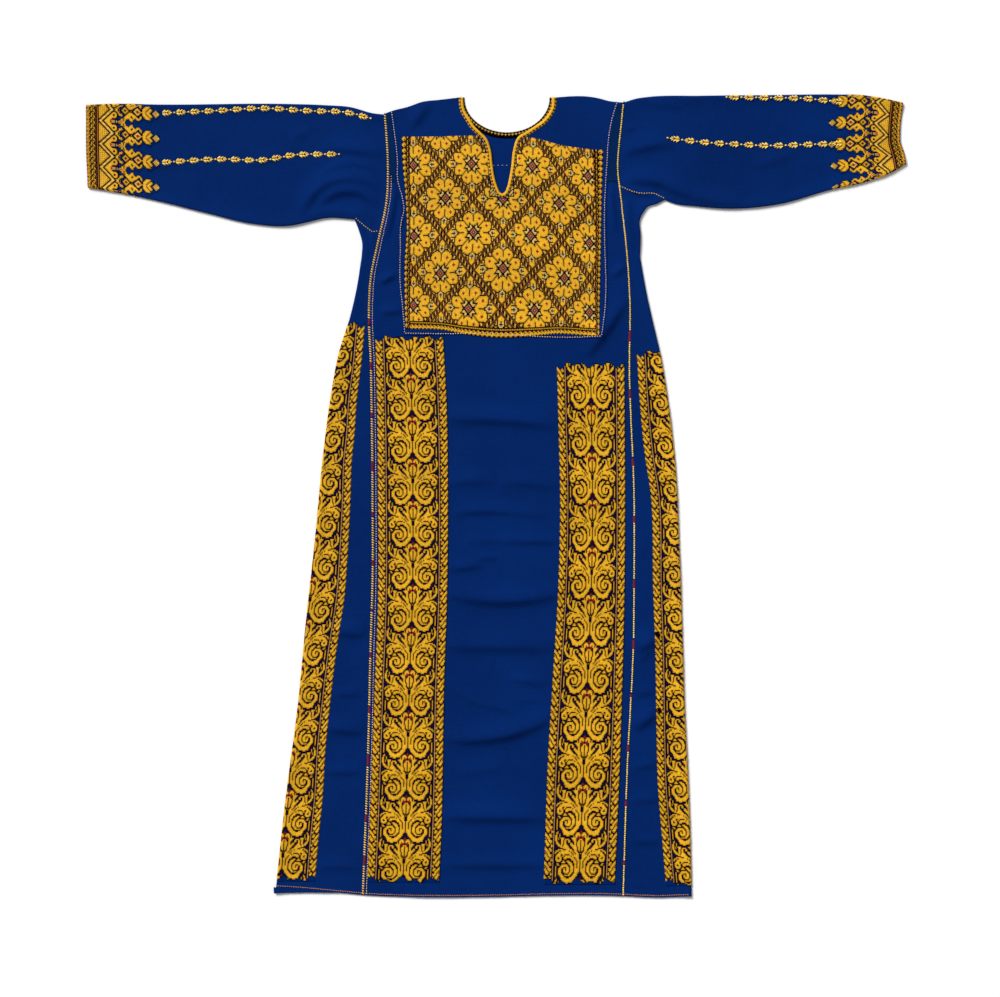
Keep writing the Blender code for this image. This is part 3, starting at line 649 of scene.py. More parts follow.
# Side of the dress, column of its values in the tables of both sides, fold of the armpit, arm
# seam, the sleeve's upper edge, lower edge and cuff, and height of the shoulder at the seam
ARMS = {
    "left": (-1, 0, LEFT_ARMPIT, LEFT_ARM_SEAM, LEFT_SLEEVE_TOP, LEFT_SLEEVE_FOOT, LEFT_CUFF,
             LEFT_SHOULDER[0, 1]),
    "right": (1, 1, RIGHT_ARMPIT, RIGHT_ARM_SEAM, RIGHT_SLEEVE_TOP, RIGHT_SLEEVE_FOOT,
              RIGHT_CUFF, RIGHT_SHOULDER[-1, 1]),
}
side_panels, sleeves, arm_seams = {}, {}, {}
sleeve_lengths, armpit_shares = {}, {}


def sleeve_sheets(name, near_cuff):
    """Front, back and both folds of a sleeve, as outer points and outward ways.

    Rows lie at shares of the upper edge's length from the cuff: those given, and evenly from the
    armpit on, where the lower side is the arm seam.
    """
    side, column, _, _, top_table, foot_table, cuff_table, shoulder_y = ARMS[name]
    arm_seam = arm_seams[name]
    stations = np.concatenate([
        near_cuff, np.linspace(armpit_shares[name], 1, SIDE_COLUMNS + 1),
    ])
    folded = len(near_cuff) + 1
    top = smooth_curve(top_table, stations)
    out_top = sideways(top) * side
    out_top[-1] = (0, 1)
    top = top - out_top * FOLD_REACH
    foot = smooth_curve(foot_table, stations[:folded] / armpit_shares[name])
    out_foot = sideways(foot) * -side
    out_foot[-1] = arm_seam[-1] - arm_seam[-2]
    out_foot[-1] /= np.linalg.norm(out_foot[-1])
    foot = foot - out_foot * FOLD_REACH
    foot = np.vstack([foot[:-1], arm_seam[-2::-1] + (0, SEAM_HALF)])
    seam = seam_rows_between(shoulder_y, arm_seam[0, 1], SLEEVE_COLUMNS + 1, column)
    seam = seam + (side * SEAM_HALF, 0)
    seam[-1] = foot[-1]
    top[-1] = seam[0]
    cuff = smooth_curve(cuff_table, np.linspace(0, 1, SLEEVE_COLUMNS + 1))
    cuff[0], cuff[-1] = top[0], foot[0]
    grid = patch(top, foot, cuff, seam, heights=stations)
    on_top, under = front_skin(grid), under_skin(grid)
    return [
        (on_top, upward(on_top)), (under, upward(under, -1.0)),
        fold_round(grid[:, 0], out_top), fold_round(grid[:folded, -1], out_foot),
    ]


for name, (side, column, pit, seam_table, top, foot, _, _) in ARMS.items():
    inner_end, out = armpit(pit, foot)
    route = np.vstack([seam_table[:-1], inner_end])
    arm_seam = smooth_curve(route, np.linspace(0, 1, SIDE_COLUMNS + 1))
    arm_seam = np.vstack([arm_seam, inner_end + out * FOLD_REACH])
    arm_seams[name] = arm_seam
    hem_y = smooth_columns(HEM, [SEAMS[-1, column + 1]])[0, 0]
    below = seam_rows_between(hem_y, arm_seam[0, 1], SIDE_ROWS, column)
    side_panels[name] = cloth_shell(
        name + "_side", side_sheets(below, pit, arm_seam, side, column), indigo_cotton,
    )
    belongs(side_panels[name], "cotton", name + "_side_panel")
    length = np.linalg.norm(np.diff(top, axis=0), axis=1).sum()
    share = 1 - np.abs(arm_seam[0, 0] - arm_seam[-2, 0]) / length
    sleeve_lengths[name], armpit_shares[name] = length, share
    near_cuff = np.linspace(EDGING_WIDTH / length, share, SLEEVE_STEPS + 1)[:-1]
    sleeves[name] = cloth_shell(name + "_arm", sleeve_sheets(name, near_cuff), indigo_cotton)
    belongs(sleeves[name], "cotton", name + "_sleeve")

# ---- Chest panel ----
# A square of the same cotton is sewn over the front from the shoulders to under the chest, and
# worked all over in cross stitch: eight-petalled rosettes in a lattice of narrow ribbons.

CHEST_LAYER = 1.2  # how far its top lies above the front panel's
CHEST_SIDES = np.array([
    (680, -184, 211), (610, -174, 196), (571, -170, 192), (534, -169, 190), (488, -160, 188),
    (460, -164, 188), (365, -165, 189), (321, -161, 188), (270, -157, 182),
], float)
CHEST_FOOT = np.array([(-157, 273), (11, 275), (182, 267)], float)
CHEST_FOOT_X = 11.0
CHEST_TO_SLIT_STEPS = 64
CHEST_TO_SHOULDER_STEPS = 44

# Places of the rosettes' centres: five rows from the top, and seven columns half a rosette
# apart, of which every other one has a rosette. The work is not quite square.
ROSETTE_X = np.array([
    (-140.7, -91.4, -42.1, 9.8, 61.6, 109.2, 156.0),
    (-140.2, -86.3, -40.4, 11.6, 59.9, 106.8, 157.3),
    (-139.7, -90.5, -38.7, 11.6, 58.2, 110.9, 158.5),
    (-140.2, -94.8, -42.9, 11.6, 61.6, 116.0, 158.5),
    (-140.7, -93.9, -47.2, 8.9, 65.0, 111.8, 158.5),
])
ROSETTE_Y = np.array([
    (562.7, 564.4, 565.2, 563.5, 561.0, 552.5, 544.0),
    (503.2, 506.6, 506.6, 504.9, 502.0, 498.1, 487.1),
    (442.0, 445.4, 448.8, 446.2, 442.8, 436.1, 430.1),
    (383.3, 379.1, 384.2, 387.6, 379.6, 370.6, 371.4),
    (324.7, 322.1, 319.6, 317.9, 316.2, 314.5, 312.8),
])
ROSETTE_PITCH = 30  # stitches from one rosette's column or row to the next
FIELD_COLUMNS = (-3, 187)  # first and last line of the field, from the first rosette
FIELD_ROWS = (-24, 134)
BORDER_COLUMNS = 8
CHEST_BLOCK = (3, 2)  # squares to one face of the underside, down and across
# Outer edges of the side borders: y, x of the left one, x of the right one
CHEST_BORDER = np.array([
    (609, -159.4, 182.8), (563, -157.7, 181.6), (503, -152.6, 180.0), (452, -150.9, 178.9),
    (401, -154.3, 178.0), (333, -154.3, 176.6), (272, -152.6, 175.5),
], float)

# A quarter of a rosette and its ribbons, from the rosette's centre to the middle of the next one:
# o gold, p pale gold, l pale rose, x madder red, g old gold, t tan, w bare cotton, . bare ground
# in painted shade, black-brown
ROSETTE = """
lxxl..oooo......pp.w..oooog.t.p
xxl....oooooooo..pp.poooog.t..o
xl..pp.oooooooooo.pppooog.to..t
l..pppp.ooooooooo.....og.t.p.t.
..pp.....ooooooooo.oopg.t..ot.g
..pp..oooooooxoooo.o.g.to..t.go
o..p.o.oooooxxxooo.pg.t.p.t.goo
ooo..oo.oooooxoooo.g.t..ot.gooo
oooo.ooo.ooooooooog.to..t.g.ooo
ooooooooo.ooooooog.t.p.t.gl.oo.
.ooooooooo......g.t..ot.g.o.pp.
.oooooxoooo.oo.g.to..t.g.oo.p.w
.ooooxxxooo.gpg.t.p.t.gp....pp.
.oooooxoooo..g.t..ot.go..oo..pp
.ooooooooo..g.to..t.g..oooooo.p
.ooooooooo.g.t.p.t.g.ooooooooo.
p.oooooo..g.t..ot.g..ooooooooo.
pp..oo..og.to..t.g..ooooxooooo.
.pp....pg.t.p.t.gpg.oooxxxoooo.
w.p.oo.g.t..ot.g.oo.ooooxooooo.
.pp.o.g.to..t.g......ooooooooo.
.oo.lg.t.p.t.gooooooo.ooooooooo
ooo.g.t..ot.gooooooooo.ooo.oooo
ooog.to..t.g.ooooxooooo.oo..ooo
oog.t.p.t.gp.oooxxxooooo.o.p..o
og.t..ot.g.o.ooooxooooooo..pp..
g.to..t.gpoo.ooooooooo.....pp..
.t.p.t.go.....ooooooooo.pppp..l
t..ot.goooppp.oooooooooo.pp..lx
o..t.goooop.pp..oooooooo....lxx
p.t.goooo..w.pp......oooo..lxxl
"""
# Side border from its outer edge in, and the lower border from the field down
LEAF_BORDER = """
.oo..o..
oooo.g..
oo.o...t
.oo..o.t
.....g..
"""
BEAD_BORDER = """
....
gogo
....
.oo.
o.oo
oooo
.oo.
"""

# Silk and gold threads, the cotton under them and painted shade, linear colours. Squares of the
# FLAT letters lie low: they are bare ground painted black-brown (.) and navy (n) as the stitches'
# painted shade, the black binding (b), and bare cotton (w).
THREAD_AND_SHADE_COLOURS = {
    "o": (0.790, 0.405, 0.012), "p": (0.840, 0.560, 0.150), "l": (0.500, 0.260, 0.100),
    # . and n are painted shade: bare ground darkened where the stitches shade it
    "x": (0.230, 0.005, 0.010), "g": (0.300, 0.150, 0.008), ".": (0.0075, 0.0010, 0.0022),
    "w": (0.0005, 0.0150, 0.100), "b": (0.0016, 0.0012, 0.0022), "t": (0.420, 0.140, 0.010),
    "n": (0.0035, 0.0040, 0.028),
}
FLAT = (".", "w", "b", "n")
STITCH_RISE = 0.50  # how far a stitch stands up over the flat squares
STITCH_BASE = 0.16  # how far those stand over the cloth
FREE_EDGE = 0.35  # a free edge stands up by this share of it
SLAB_DEPTH = 0.40  # how far the stitched piece reaches down into the cloth
STITCH_SHADE = 0.17  # how much one stitch may differ from the next in tone
EDGE_SHADE = 0.16  # painted shade: how much each flat neighbour takes off a stitch's tone
ROW_SHADE = 0.06
ROW_WAVE = 11.0  # rows to a radian of the slow wave in tone
GREEN_SHADE = 0.09
SHADED_COTTON = 0.18  # tone of bare cotton beside stitches
UNDER_ARM = 0.86  # height of a cross's lower arm, over that of the upper one
GAP_SHADE = 0.60  # painted shade: how much darker the colour is in the gaps between a cross's arms
BAKE_TOP = 0.96  # share of the bake's height that the top has
BAKE_UNDER = 0.03
NEIGHBOURS = ((0, 1), (0, -1), (1, 0), (-1, 0))
# Sides of a block of squares: way to the next block, and the side's first and last corner
BLOCK_SIDES = (
    ((-1, 0), (0, 0), (0, 1)), ((1, 0), (1, 1), (1, 0)),
    ((0, -1), (1, 0), (0, 0)), ((0, 1), (0, 1), (1, 1)),
)
rng = np.random.default_rng(11)


def charted(text):
    """A chart as an array of letters, rows from the top."""
    return np.array([list(row) for row in text.split()])


def cross_stitch_work():
    """Cross stitch: two threads over each square of the ground, lit along their crossing arms by
    the bump, with painted shade in the colour of the gaps between the arms.

    An arm's height is 1 - distance from the square's diagonal over the thread's half width, and
    the higher arm counts. Flat squares keep the ground's own dull finish.
    """
    made, shader, add, sums = new_finish("cross_stitch", {})
    square = add("UVMap")
    square.uv_map = "squares"
    split = add("SeparateXYZ", None, square.outputs["UV"]).outputs
    across, up = (sums("FRACT", split[axis]) for axis in "XY")
    rising = sums("ABSOLUTE", sums("SUBTRACT", across, up))
    falling = sums("ABSOLUTE", sums("SUBTRACT", sums("ADD", across, up), 1.0))
    arm, other = (
        sums("MAXIMUM", sums("SUBTRACT", 1.0, sums("DIVIDE", off, 0.5)), 0.0)
        for off in (rising, falling)
    )
    higher = sums("MAXIMUM", arm, sums("MULTIPLY", other, UNDER_ARM))
    crossing = sums("POWER", higher, 0.6)
    thread, flag = add("Attribute"), add("Attribute")
    thread.attribute_name, flag.attribute_name = "thread", "stitched"
    stitched = flag.outputs["Fac"]
    # painted shade: the colour is darker in the gaps between a cross's arms
    gap = sums("MULTIPLY", sums("SUBTRACT", 1.0, crossing), stitched)
    tone = sums("SUBTRACT", 1.06, sums("MULTIPLY", gap, GAP_SHADE))
    dyed_and_shaded = add("VectorMath", "SCALE", thread.outputs["Color"], Scale=tone).outputs[0]
    bump = add("Bump", Strength=0.5, Distance=0.0005, Height=sums("MULTIPLY", crossing, stitched))
    feed(shader, {
        "Base Color": dyed_and_shaded,
        "Roughness": sums("SUBTRACT", 0.82, sums("MULTIPLY", stitched, 0.34)),
        "Specular IOR Level": sums("MULTIPLY", stitched, 0.16),
        "Normal": bump.outputs["Normal"],
    })
    return made


cross_stitch = cross_stitch_work()


def thread_tones_and_shade(chart):
    """Linear colour of every square: its thread's colour, uneven from stitch to stitch, and painted
    shade.

    Tone is 1 + an even spread by STITCH_SHADE + a slow wave along the rows, as skeins differ,
    and green has a spread of its own. Each flat neighbour takes EDGE_SHADE off, as painted shade
    where the stitches round down to the ground. Bare cotton beside stitches lies in their shade.
    """
    colour = np.zeros(chart.shape + (3,))
    for letter, thread in THREAD_AND_SHADE_COLOURS.items():
        colour[chart == letter] = thread
    tone = 1 + STITCH_SHADE * rng.uniform(-1, 1, chart.shape)
    tone += ROW_SHADE * np.sin(np.arange(len(chart)) / ROW_WAVE)[:, None]
    worked = ~np.isin(chart, FLAT)
    beside = sum(np.roll(worked, way, axis=(0, 1)).astype(float) for way in NEIGHBOURS)
    # painted shade where stitches meet flat squares
    tone[worked] *= 1 - EDGE_SHADE * (len(NEIGHBOURS) - beside[worked])
    tone[(chart == "w") & (beside > 0)] *= SHADED_COTTON
    colour[..., 1] *= 1 + GREEN_SHADE * rng.uniform(-1, 1, chart.shape)
    return colour * tone[..., None]


def stitched_piece(name, ground, way, chart, kept=None, block=(1, 1), depth=SLAB_DEPTH):
    """A thin closed piece of stitching: one square face for each stitch of the chart.

    ground is the cloth's surface at the corners of the squares, and way is outward there. A
    corner's height is the base and the rise times the root of the share of worked squares round
    it. The underside has one face for each block of squares, down and across, and blocks that
    aren't kept are left out. Every open side of a block is one face, from the squares' corners
    down to the block's own.
    """
    rows, columns = chart.shape
    down, across = block
    kept = np.ones((rows // down, columns // across), bool) if kept is None else kept
    squares = np.repeat(np.repeat(kept, down, axis=0), across, axis=1)
    raised = ~np.isin(chart, FLAT)
    share, inside = (
        (full[1:, 1:] + full[:-1, 1:] + full[1:, :-1] + full[:-1, :-1]) / 4
        for full in (np.pad(part.astype(float), 1) for part in (raised & squares, squares))
    )
    height = STITCH_BASE + STITCH_RISE * np.sqrt(share)
    height *= np.where(inside == 1, 1.0, FREE_EDGE)
    top = ground + way * height[..., None]
    under = (ground - way * depth)[::down, ::across]
    places = np.dstack(np.meshgrid(np.arange(columns + 1), np.arange(rows + 1)))
    grid = np.vstack([places.reshape(-1, 2), places[::down, ::across].reshape(-1, 2)])
    points = np.vstack([top.reshape(-1, 3), under.reshape(-1, 3)])
    upper = np.arange(top[..., 0].size).reshape(rows + 1, columns + 1)
    lower = upper.size + np.arange(under[..., 0].size).reshape(under.shape[:2])

    faces = [np.stack([
        upper[:-1, :-1][squares], upper[:-1, 1:][squares],
        upper[1:, 1:][squares], upper[1:, :-1][squares],
    ], axis=1), np.stack([
        lower[:-1, :-1][kept], lower[1:, :-1][kept], lower[1:, 1:][kept], lower[:-1, 1:][kept],
    ], axis=1)]
    around = np.pad(kept, 1)
    for (r, c), first, last in BLOCK_SIDES:
        beyond = around[1 + r:1 + r + kept.shape[0], 1 + c:1 + c + kept.shape[1]]
        at = np.argwhere(kept & ~beyond)[:, None]
        steps = down if c else across
        run = at * block + (np.linspace(last, first, steps + 1) * block).round().astype(int)
        ends = at + (first, last)
        faces.append(np.hstack([
            upper[run[..., 0], run[..., 1]], lower[ends[..., 0], ends[..., 1]],
        ]))

    turn = np.cross(top[:-1, 1:] - top[:-1, :-1], top[1:, :-1] - top[:-1, :-1])
    if (turn * way[:-1, :-1])[squares].sum() < 0:
        faces = [group[:, ::-1] for group in faces]
    corners = np.concatenate([group.ravel() for group in faces])
    used, local = np.unique(corners, return_inverse=True)
    sizes = np.concatenate([np.full(len(group), group.shape[1]) for group in faces])
    mesh = bpy.data.meshes.new(name)
    mesh.vertices.add(len(used))
    mesh.vertices.foreach_set("co", (points[used] * MM).ravel())
    mesh.loops.add(len(corners))
    mesh.loops.foreach_set("vertex_index", local.ravel())
    mesh.polygons.add(len(sizes))
    mesh.polygons.foreach_set("loop_start", np.concatenate([[0], np.cumsum(sizes)[:-1]]))
    mesh.update(calc_edges=True)

    is_top = np.arange(len(sizes)) < len(faces[0])
    # the underside and open sides take the black-brown of the ground's painted shade
    colour = np.tile((*THREAD_AND_SHADE_COLOURS["."], 1.0), (len(sizes), 1))
    colour[is_top, :3] = thread_tones_and_shade(chart)[squares]
    flag = np.zeros(len(sizes))
    flag[is_top] = raised[squares]
    mesh.attributes.new("thread", "FLOAT_COLOR", "FACE").data.foreach_set("color", colour.ravel())
    mesh.attributes.new("stitched", "FLOAT", "FACE").data.foreach_set("value", flag)
    on_top = np.repeat(is_top, sizes)
    at = grid[corners].astype(float)
    mesh.uv_layers.new(name="squares").data.foreach_set("uv", at.ravel())
    share_of = at / (columns, rows)
    baked = np.where(
        on_top[:, None], share_of * (1, BAKE_TOP), share_of * (1, BAKE_UNDER) + (0, 1 - BAKE_UNDER),
    )
    mesh.uv_layers.new(name="OFBake").data.foreach_set("uv", baked.ravel())
    mesh.shade_smooth()
    mesh.materials.append(cross_stitch)
    return placed(name, mesh)


def rosette_lattice(columns, rows):
    """Places of the lattice's lines, by stitches from the first rosette's centre.

    Both tables are read by a smooth cubic down the columns and then along the rows, and go on
    straight beyond their edges.
    """
    places = []
    for table in (ROSETTE_X, ROSETTE_Y):
        wide = np.pad(table, 1, mode="reflect", reflect_type="odd")
        down = np.arange(-1, len(table) + 1) * float(ROSETTE_PITCH)
        along = np.arange(-1, table.shape[1] + 1) * float(ROSETTE_PITCH)
        by_row = smooth_columns(np.column_stack([down, wide]), rows)
        by_both = smooth_columns(np.column_stack([along, by_row.T]), columns)
        places.append(by_both.T)
    return np.dstack(places)


def chest_work():
    """The chest's chart and the places of its lines: a field of rosettes inside its borders."""
    lines = np.arange(FIELD_ROWS[0], FIELD_ROWS[1] + len(charted(BEAD_BORDER)) + 1.0)
    field = rosette_lattice(np.arange(FIELD_COLUMNS[0], FIELD_COLUMNS[1] + 1.0), lines)
    step = np.linspace(0, 1, BORDER_COLUMNS + 1)[:-1]
    borders = []
    for side, nearest in ((0, field[:, :1]), (1, field[:, -1:])):
        edge = smooth_columns(CHEST_BORDER, nearest[:, 0, 1])[:, side, None]
        border = nearest.repeat(BORDER_COLUMNS, axis=1)
        border[..., 0] = edge + step * (nearest[..., 0] - edge)
        borders.append(border)
    lattice = np.concatenate([borders[0], field, borders[1][:, ::-1]], axis=1)

    quarter = charted(ROSETTE)
    half = np.hstack([quarter[:, :0:-1], quarter])
    whole = np.vstack([half[:0:-1], half])[:-1, :-1]
    column = np.arange(*FIELD_COLUMNS) + ROSETTE_PITCH
    row = np.arange(*FIELD_ROWS) + ROSETTE_PITCH
    worked = whole[row[:, None] % (2 * ROSETTE_PITCH), column[None, :] % (2 * ROSETTE_PITCH)]
    beads, leaf = charted(BEAD_BORDER), charted(LEAF_BORDER)
    worked = np.vstack([worked, beads[:, np.arange(worked.shape[1]) % beads.shape[1]]])
    leaf = leaf[np.arange(len(worked)) % len(leaf)]
    return np.hstack([leaf, worked, leaf[:, ::-1]]), lattice


# Stitched frame round the slit's foot: left, right, foot and top, and width of its dark edge at
# the sides and the foot
SLIT_FRAME = (-10.5, 31.5, 508.0, 552.0)
FRAME_SIDE, FRAME_FOOT = 1.7, 2.0
chest_chart, chest_lattice = chest_work()
middles = (
    chest_lattice[:-1, :-1] + chest_lattice[1:, :-1]
    + chest_lattice[:-1, 1:] + chest_lattice[1:, 1:]
) / 4
x, y = middles[..., 0], middles[..., 1]
left_cut, right_cut = (
    smooth_columns(neck[:, ::-1], y.ravel())[:, 0].reshape(y.shape)
    for neck in (LEFT_NECK, RIGHT_NECK)
)
frame_left, frame_right, frame_foot, frame_top = SLIT_FRAME
in_frame = (x > frame_left) & (x < frame_right) & (y > frame_foot) & (y < frame_top)
on_frame = in_frame & (
    (x < frame_left + FRAME_SIDE) | (x > frame_right - FRAME_SIDE) | (y < frame_foot + FRAME_FOOT)
)
rung = np.indices(x.shape).sum(axis=0) % 3 == 0
chest_chart[in_frame] = "p"
chest_chart[in_frame & rung] = "."
chest_chart[on_frame] = "."
chest_kept = (y < LEFT_NECK[0, 1]) | (x < left_cut) | (x > right_cut)

chest_halves = panel_halves(
    CHEST_SIDES, CHEST_FOOT, CHEST_FOOT_X, LEFT_NECK, RIGHT_NECK,
    CHEST_TO_SLIT_STEPS, CHEST_TO_SHOULDER_STEPS, HALF_COLUMNS,
)
chest_skins = [front_skin(half, CHEST_LAYER) for half in chest_halves]
chest = cloth_shell("chest", [(skin, upward(skin)) for skin in chest_skins], indigo_cotton)
belongs(chest, "cotton", "chest_panel")
chest_ground = front_skin(chest_lattice, CHEST_LAYER)
down, across = CHEST_BLOCK
blocks = chest_kept.reshape(chest_kept.shape[0] // down, down, -1, across).all(axis=(1, 3))
chest_stitches = stitched_piece(
    "chest_stitches", chest_ground, upward(chest_ground), chest_chart, blocks, CHEST_BLOCK,
)
belongs(chest_stitches, "embroidery")

# ---- Shoulder strips ----
# Narrow facings of darker, greener cotton fill the way from the chest panel to the sleeves, and
# end in a turned edge, below which the side of the front comes out gathered.

STRIP_LAYER = 1.0
STRIP_FOOT = {"left": 534.0, "right": 535.0}
STRIP_GAP = 0.3  # between a strip and the chest panel
STRIP_POINTS = 40
STRIP_COLUMNS = 5
deep_teal_cotton = cotton("deep_teal_cotton", DEEP_TEAL)
strips = {}
for name, column, shoulder in (("left", 0, LEFT_SHOULDER), ("right", 1, RIGHT_SHOULDER)):
    curves = []
    for edge_table, off in ((SEAMS, 0.0), (CHEST_SIDES, (-STRIP_GAP, STRIP_GAP)[column])):
        x = edge_table[0, column + 1] + off
        top_y = smooth_columns(shoulder, [x])[0, 0]
        y = np.linspace(STRIP_FOOT[name], top_y, STRIP_POINTS)
        curves.append(np.column_stack([smooth_columns(edge_table, y)[:, column] + off, y]))
    strip_skin = front_skin(patch(*curves, columns=STRIP_COLUMNS), STRIP_LAYER)
    strips[name] = cloth_shell(
        name + "_facing", [(strip_skin, upward(strip_skin))], deep_teal_cotton,
    )
    belongs(strips[name], "cotton", name + "_shoulder_strip")

# ---- Scroll bands ----
# Four long bands of scrolls between leaf borders run down to the hem: two on the front, and one
# on each side panel, which goes round the side fold. They are worked straight into the cotton.

# Half of the field from its middle column outward, one repeat from the top down
SCROLL = """
xx....ooooooooooooo....o...l
x.ooo..ooooooooooo.....oo..l
.ooooo..oooooooooo...o..o..l
.ooxoo.o....ooo......o..oo.l
.xxxoo.o.............o..oo.l
.xxx.ooooo.......oooo.o.oo.l
oo.x.oooo...oooo.ooo..o.oo.l
.oo..ooo...oo..oo.oo....oo.l
.ooo.oo....oo..oo.oo...oo..l
.ooo.oo..oo....oo.oo..ooo..l
.ooo.oo.ooo...ooo.oo.ooo...l
.ooo.ooooo...ooooo.oooo....l
.oo.ooooo...ooooooooo......l
.oo.oooo...ooooooo.........l
.oo.ooo..oooooo...ooooo....l
.o..ooo.ooo.oooooooo..ooo..l
...ooo.oo.oooooooooooo..oo.l
o.ooo.oo.oooooooooooooo..o.l
..ooooo.ooo.....oo..oooo...l
..ooooooo.oooooo.oo.ooooo..l
..oooo.oooooooooo..ooo.oo..l
..ooo.oooo....ooo..oo..oo..l
.ooo.oooo..........oooooo..l
.oo.ooo....ooo..oo..oooo...l
.oo.ooo..oooo..oooo........l
.oo.oo..oooo..........oo...l
.oo.oo..ooo..oooooo..oo....l
.oo.oo.ooo..oooooooo....o..l
.oo.oo.ooo.ooo...oooo...o..l
.ooooo.ooo.ooo.oo..ooo..o..l
.ooooo.ooo.ooo.oo..ooo..o..l
.ooooo.ooo.oooooo..ooo..o..l
..oooo..ooo.oooo...ooo..o..l
...oooo..ooo......oooo..o..l
...ooooo..oooooo.oooo...o..l
....ooooo.......oooo....o..l
x....oooooo...ooooo........l
"""
# Leaves of the border, from beside the pale line to the band's edge
BAND_LEAVES = """
...oo.o.
.oooo.oo
.ooo.ooo
..o.ooo.
.o.oooo.
oo..oo..
.o.....o
..oo..oo
.ooo.ooo
.oo.ooo.
...ooo.o
"""
LEAF_SHIFT = 2  # rows by which the leaves' repeat is shifted
BAND_BLOCK = (6, 8)  # squares to one face of the underside, down and across
# Front bands: first row's y, rows, mm to a row, rows by which the repeat is shifted, and the
# edges as y, x of the left one, x of the right one
FRONT_BANDS = {
    "left": (273.7, 480, 1.939, 3, np.array([
        (277, -204.8, -90.0), (163, -201.9, -83.7), (10, -200.2, -81.2), (-177, -200.2, -82.9),
        (-330, -206.0, -88.0), (-449, -210.4, -89.7), (-556, -214.5, -91.9),
        (-670, -219.7, -97.2),
    ], float)),
    "right": (227.8, 408, 2.178, 4, np.array([
        (240, 103.3, 218.0), (124, 106.3, 219.0), (-7, 109.2, 219.7), (-160, 105.8, 218.7),
        (-301, 97.3, 215.6), (-444, 88.8, 211.2), (-636, 82.0, 203.1), (-678, 80.3, 201.4),
    ], float)),
}
# Side bands: the same, with the inner edge alone as y, x
SIDE_BANDS = {
    "left": (297.0, 486, 1.959, 1, np.array([
        (294, -221.9), (230, -227.4), (160, -235.9), (107, -239.3), (56, -244.4), (3, -246.1),
        (-100, -251.2), (-170, -256.3), (-260, -269.9), (-345, -280.1), (-428, -288.6),
        (-513, -293.7), (-580, -300.5), (-661, -307.3),
    ], float)),
    "right": (248.0, 462, 1.971, 21, np.array([
        (257, 238.8), (151, 245.2), (66, 253.7), (10, 262.2), (-160, 267.3), (-258, 270.7),
        (-364, 272.4), (-500, 275.8), (-585, 282.6), (-670, 289.9),
    ], float)),
}
SIDE_BAND_SQUARE = 1.64  # width of a stitch on the side bands
SIDE_BAND_STOP = 9.0  # how far from the back seam a side band ends


def shade_the_ground(worked):
    """The chart with painted shade on the bare ground: black-brown on every flat square beside a
    raised one.

    The rest of the ground inside the work is painted navy, as lighter painted shade.
    """
    flat = np.isin(worked, FLAT)
    full = np.pad(~flat, 1)
    beside = full[:-2, 1:-1] | full[2:, 1:-1] | full[1:-1, :-2] | full[1:-1, 2:]
    # painted shade: black-brown beside raised squares, navy on the rest of the ground
    return np.where(flat & beside, ".", np.where(worked == ".", "n", worked))


def band_chart(rows, shift):
    """A band of the given rows: leaf border, two halves of the scroll field, leaf border.

    One bare column more makes the width a whole number of blocks. The ends are left ragged: rows
    nearer to an end than the sum of two waves across the band are bare cotton.
    """
    half = charted(SCROLL)
    leaves = charted(BAND_LEAVES)
    at = (np.arange(rows) + shift) % len(half)
    field = np.hstack([half[:, :0:-1], half])[at]
    border = leaves[(np.arange(rows) + LEAF_SHIFT) % len(leaves)]
    worked = np.hstack([border[:, ::-1], field, border, np.full((rows, 1), "w")])
    column = np.arange(worked.shape[1])
    ragged = 2.2 + 1.6 * np.sin(column / 2.3) + 1.3 * np.sin(column / 5.1 + 1)
    from_end = np.minimum(np.arange(rows), np.arange(rows)[::-1])[:, None]
    worked[from_end < ragged] = "w"
    return shade_the_ground(worked)


def round_the_side(inner_x, y, side, column, distances):
    """Places and outward ways at distances from a band's inner edge, out round the side fold.

    They lie out over the front to the fold's edge, then by angle along its half ellipse, then
    back along the underside. Also returns how far each row goes before it meets the back seam.
    """
    outline = np.column_stack([smooth_columns(SIDES, y)[:, column], y])
    outward = -sideways(outline) * side
    edge = outline - outward * FOLD_REACH
    top, low = front_height(edge[:, None])[:, 0], under_height(edge[:, None])[:, 0]
    reach = np.abs(edge[:, 0] - inner_x)[:, None]
    half = ((top - low) / 2)[:, None]
    arc = np.pi * (FOLD_REACH + half) / 2
    s = np.broadcast_to(distances, (len(y), len(distances)))
    angle = np.pi / 2 - np.pi * np.clip((s - reach) / arc, 0, 1)
    bent = (s > reach) & (s < reach + arc)
    beneath = s >= reach + arc
    x = inner_x[:, None] + side * s
    x = np.where(beneath, edge[:, :1] - side * (s - reach - arc), x)
    x = np.where(bent, edge[:, :1] + outward[:, :1] * np.cos(angle) * FOLD_REACH, x)
    along = np.broadcast_to(y[:, None], s.shape)
    along = np.where(bent, edge[:, 1:] + outward[:, 1:] * np.cos(angle) * FOLD_REACH, along)
    flat = np.dstack([x, along])
    z = np.where(beneath, under_height(flat), front_height(flat))
    z = np.where(bent, ((top + low) / 2)[:, None] + half * np.sin(angle), z)
    way = np.dstack([
        np.where(bent, outward[:, :1] * np.cos(angle), 0.0),
        np.where(bent, outward[:, 1:] * np.cos(angle), 0.0),
        np.where(bent, np.sin(angle), np.where(beneath, -1.0, 1.0)),
    ])
    seam_x = smooth_columns(SEAMS, y)[:, column]
    return np.dstack([flat, z]), way, (reach + arc)[:, 0] + np.abs(edge[:, 0] - seam_x)


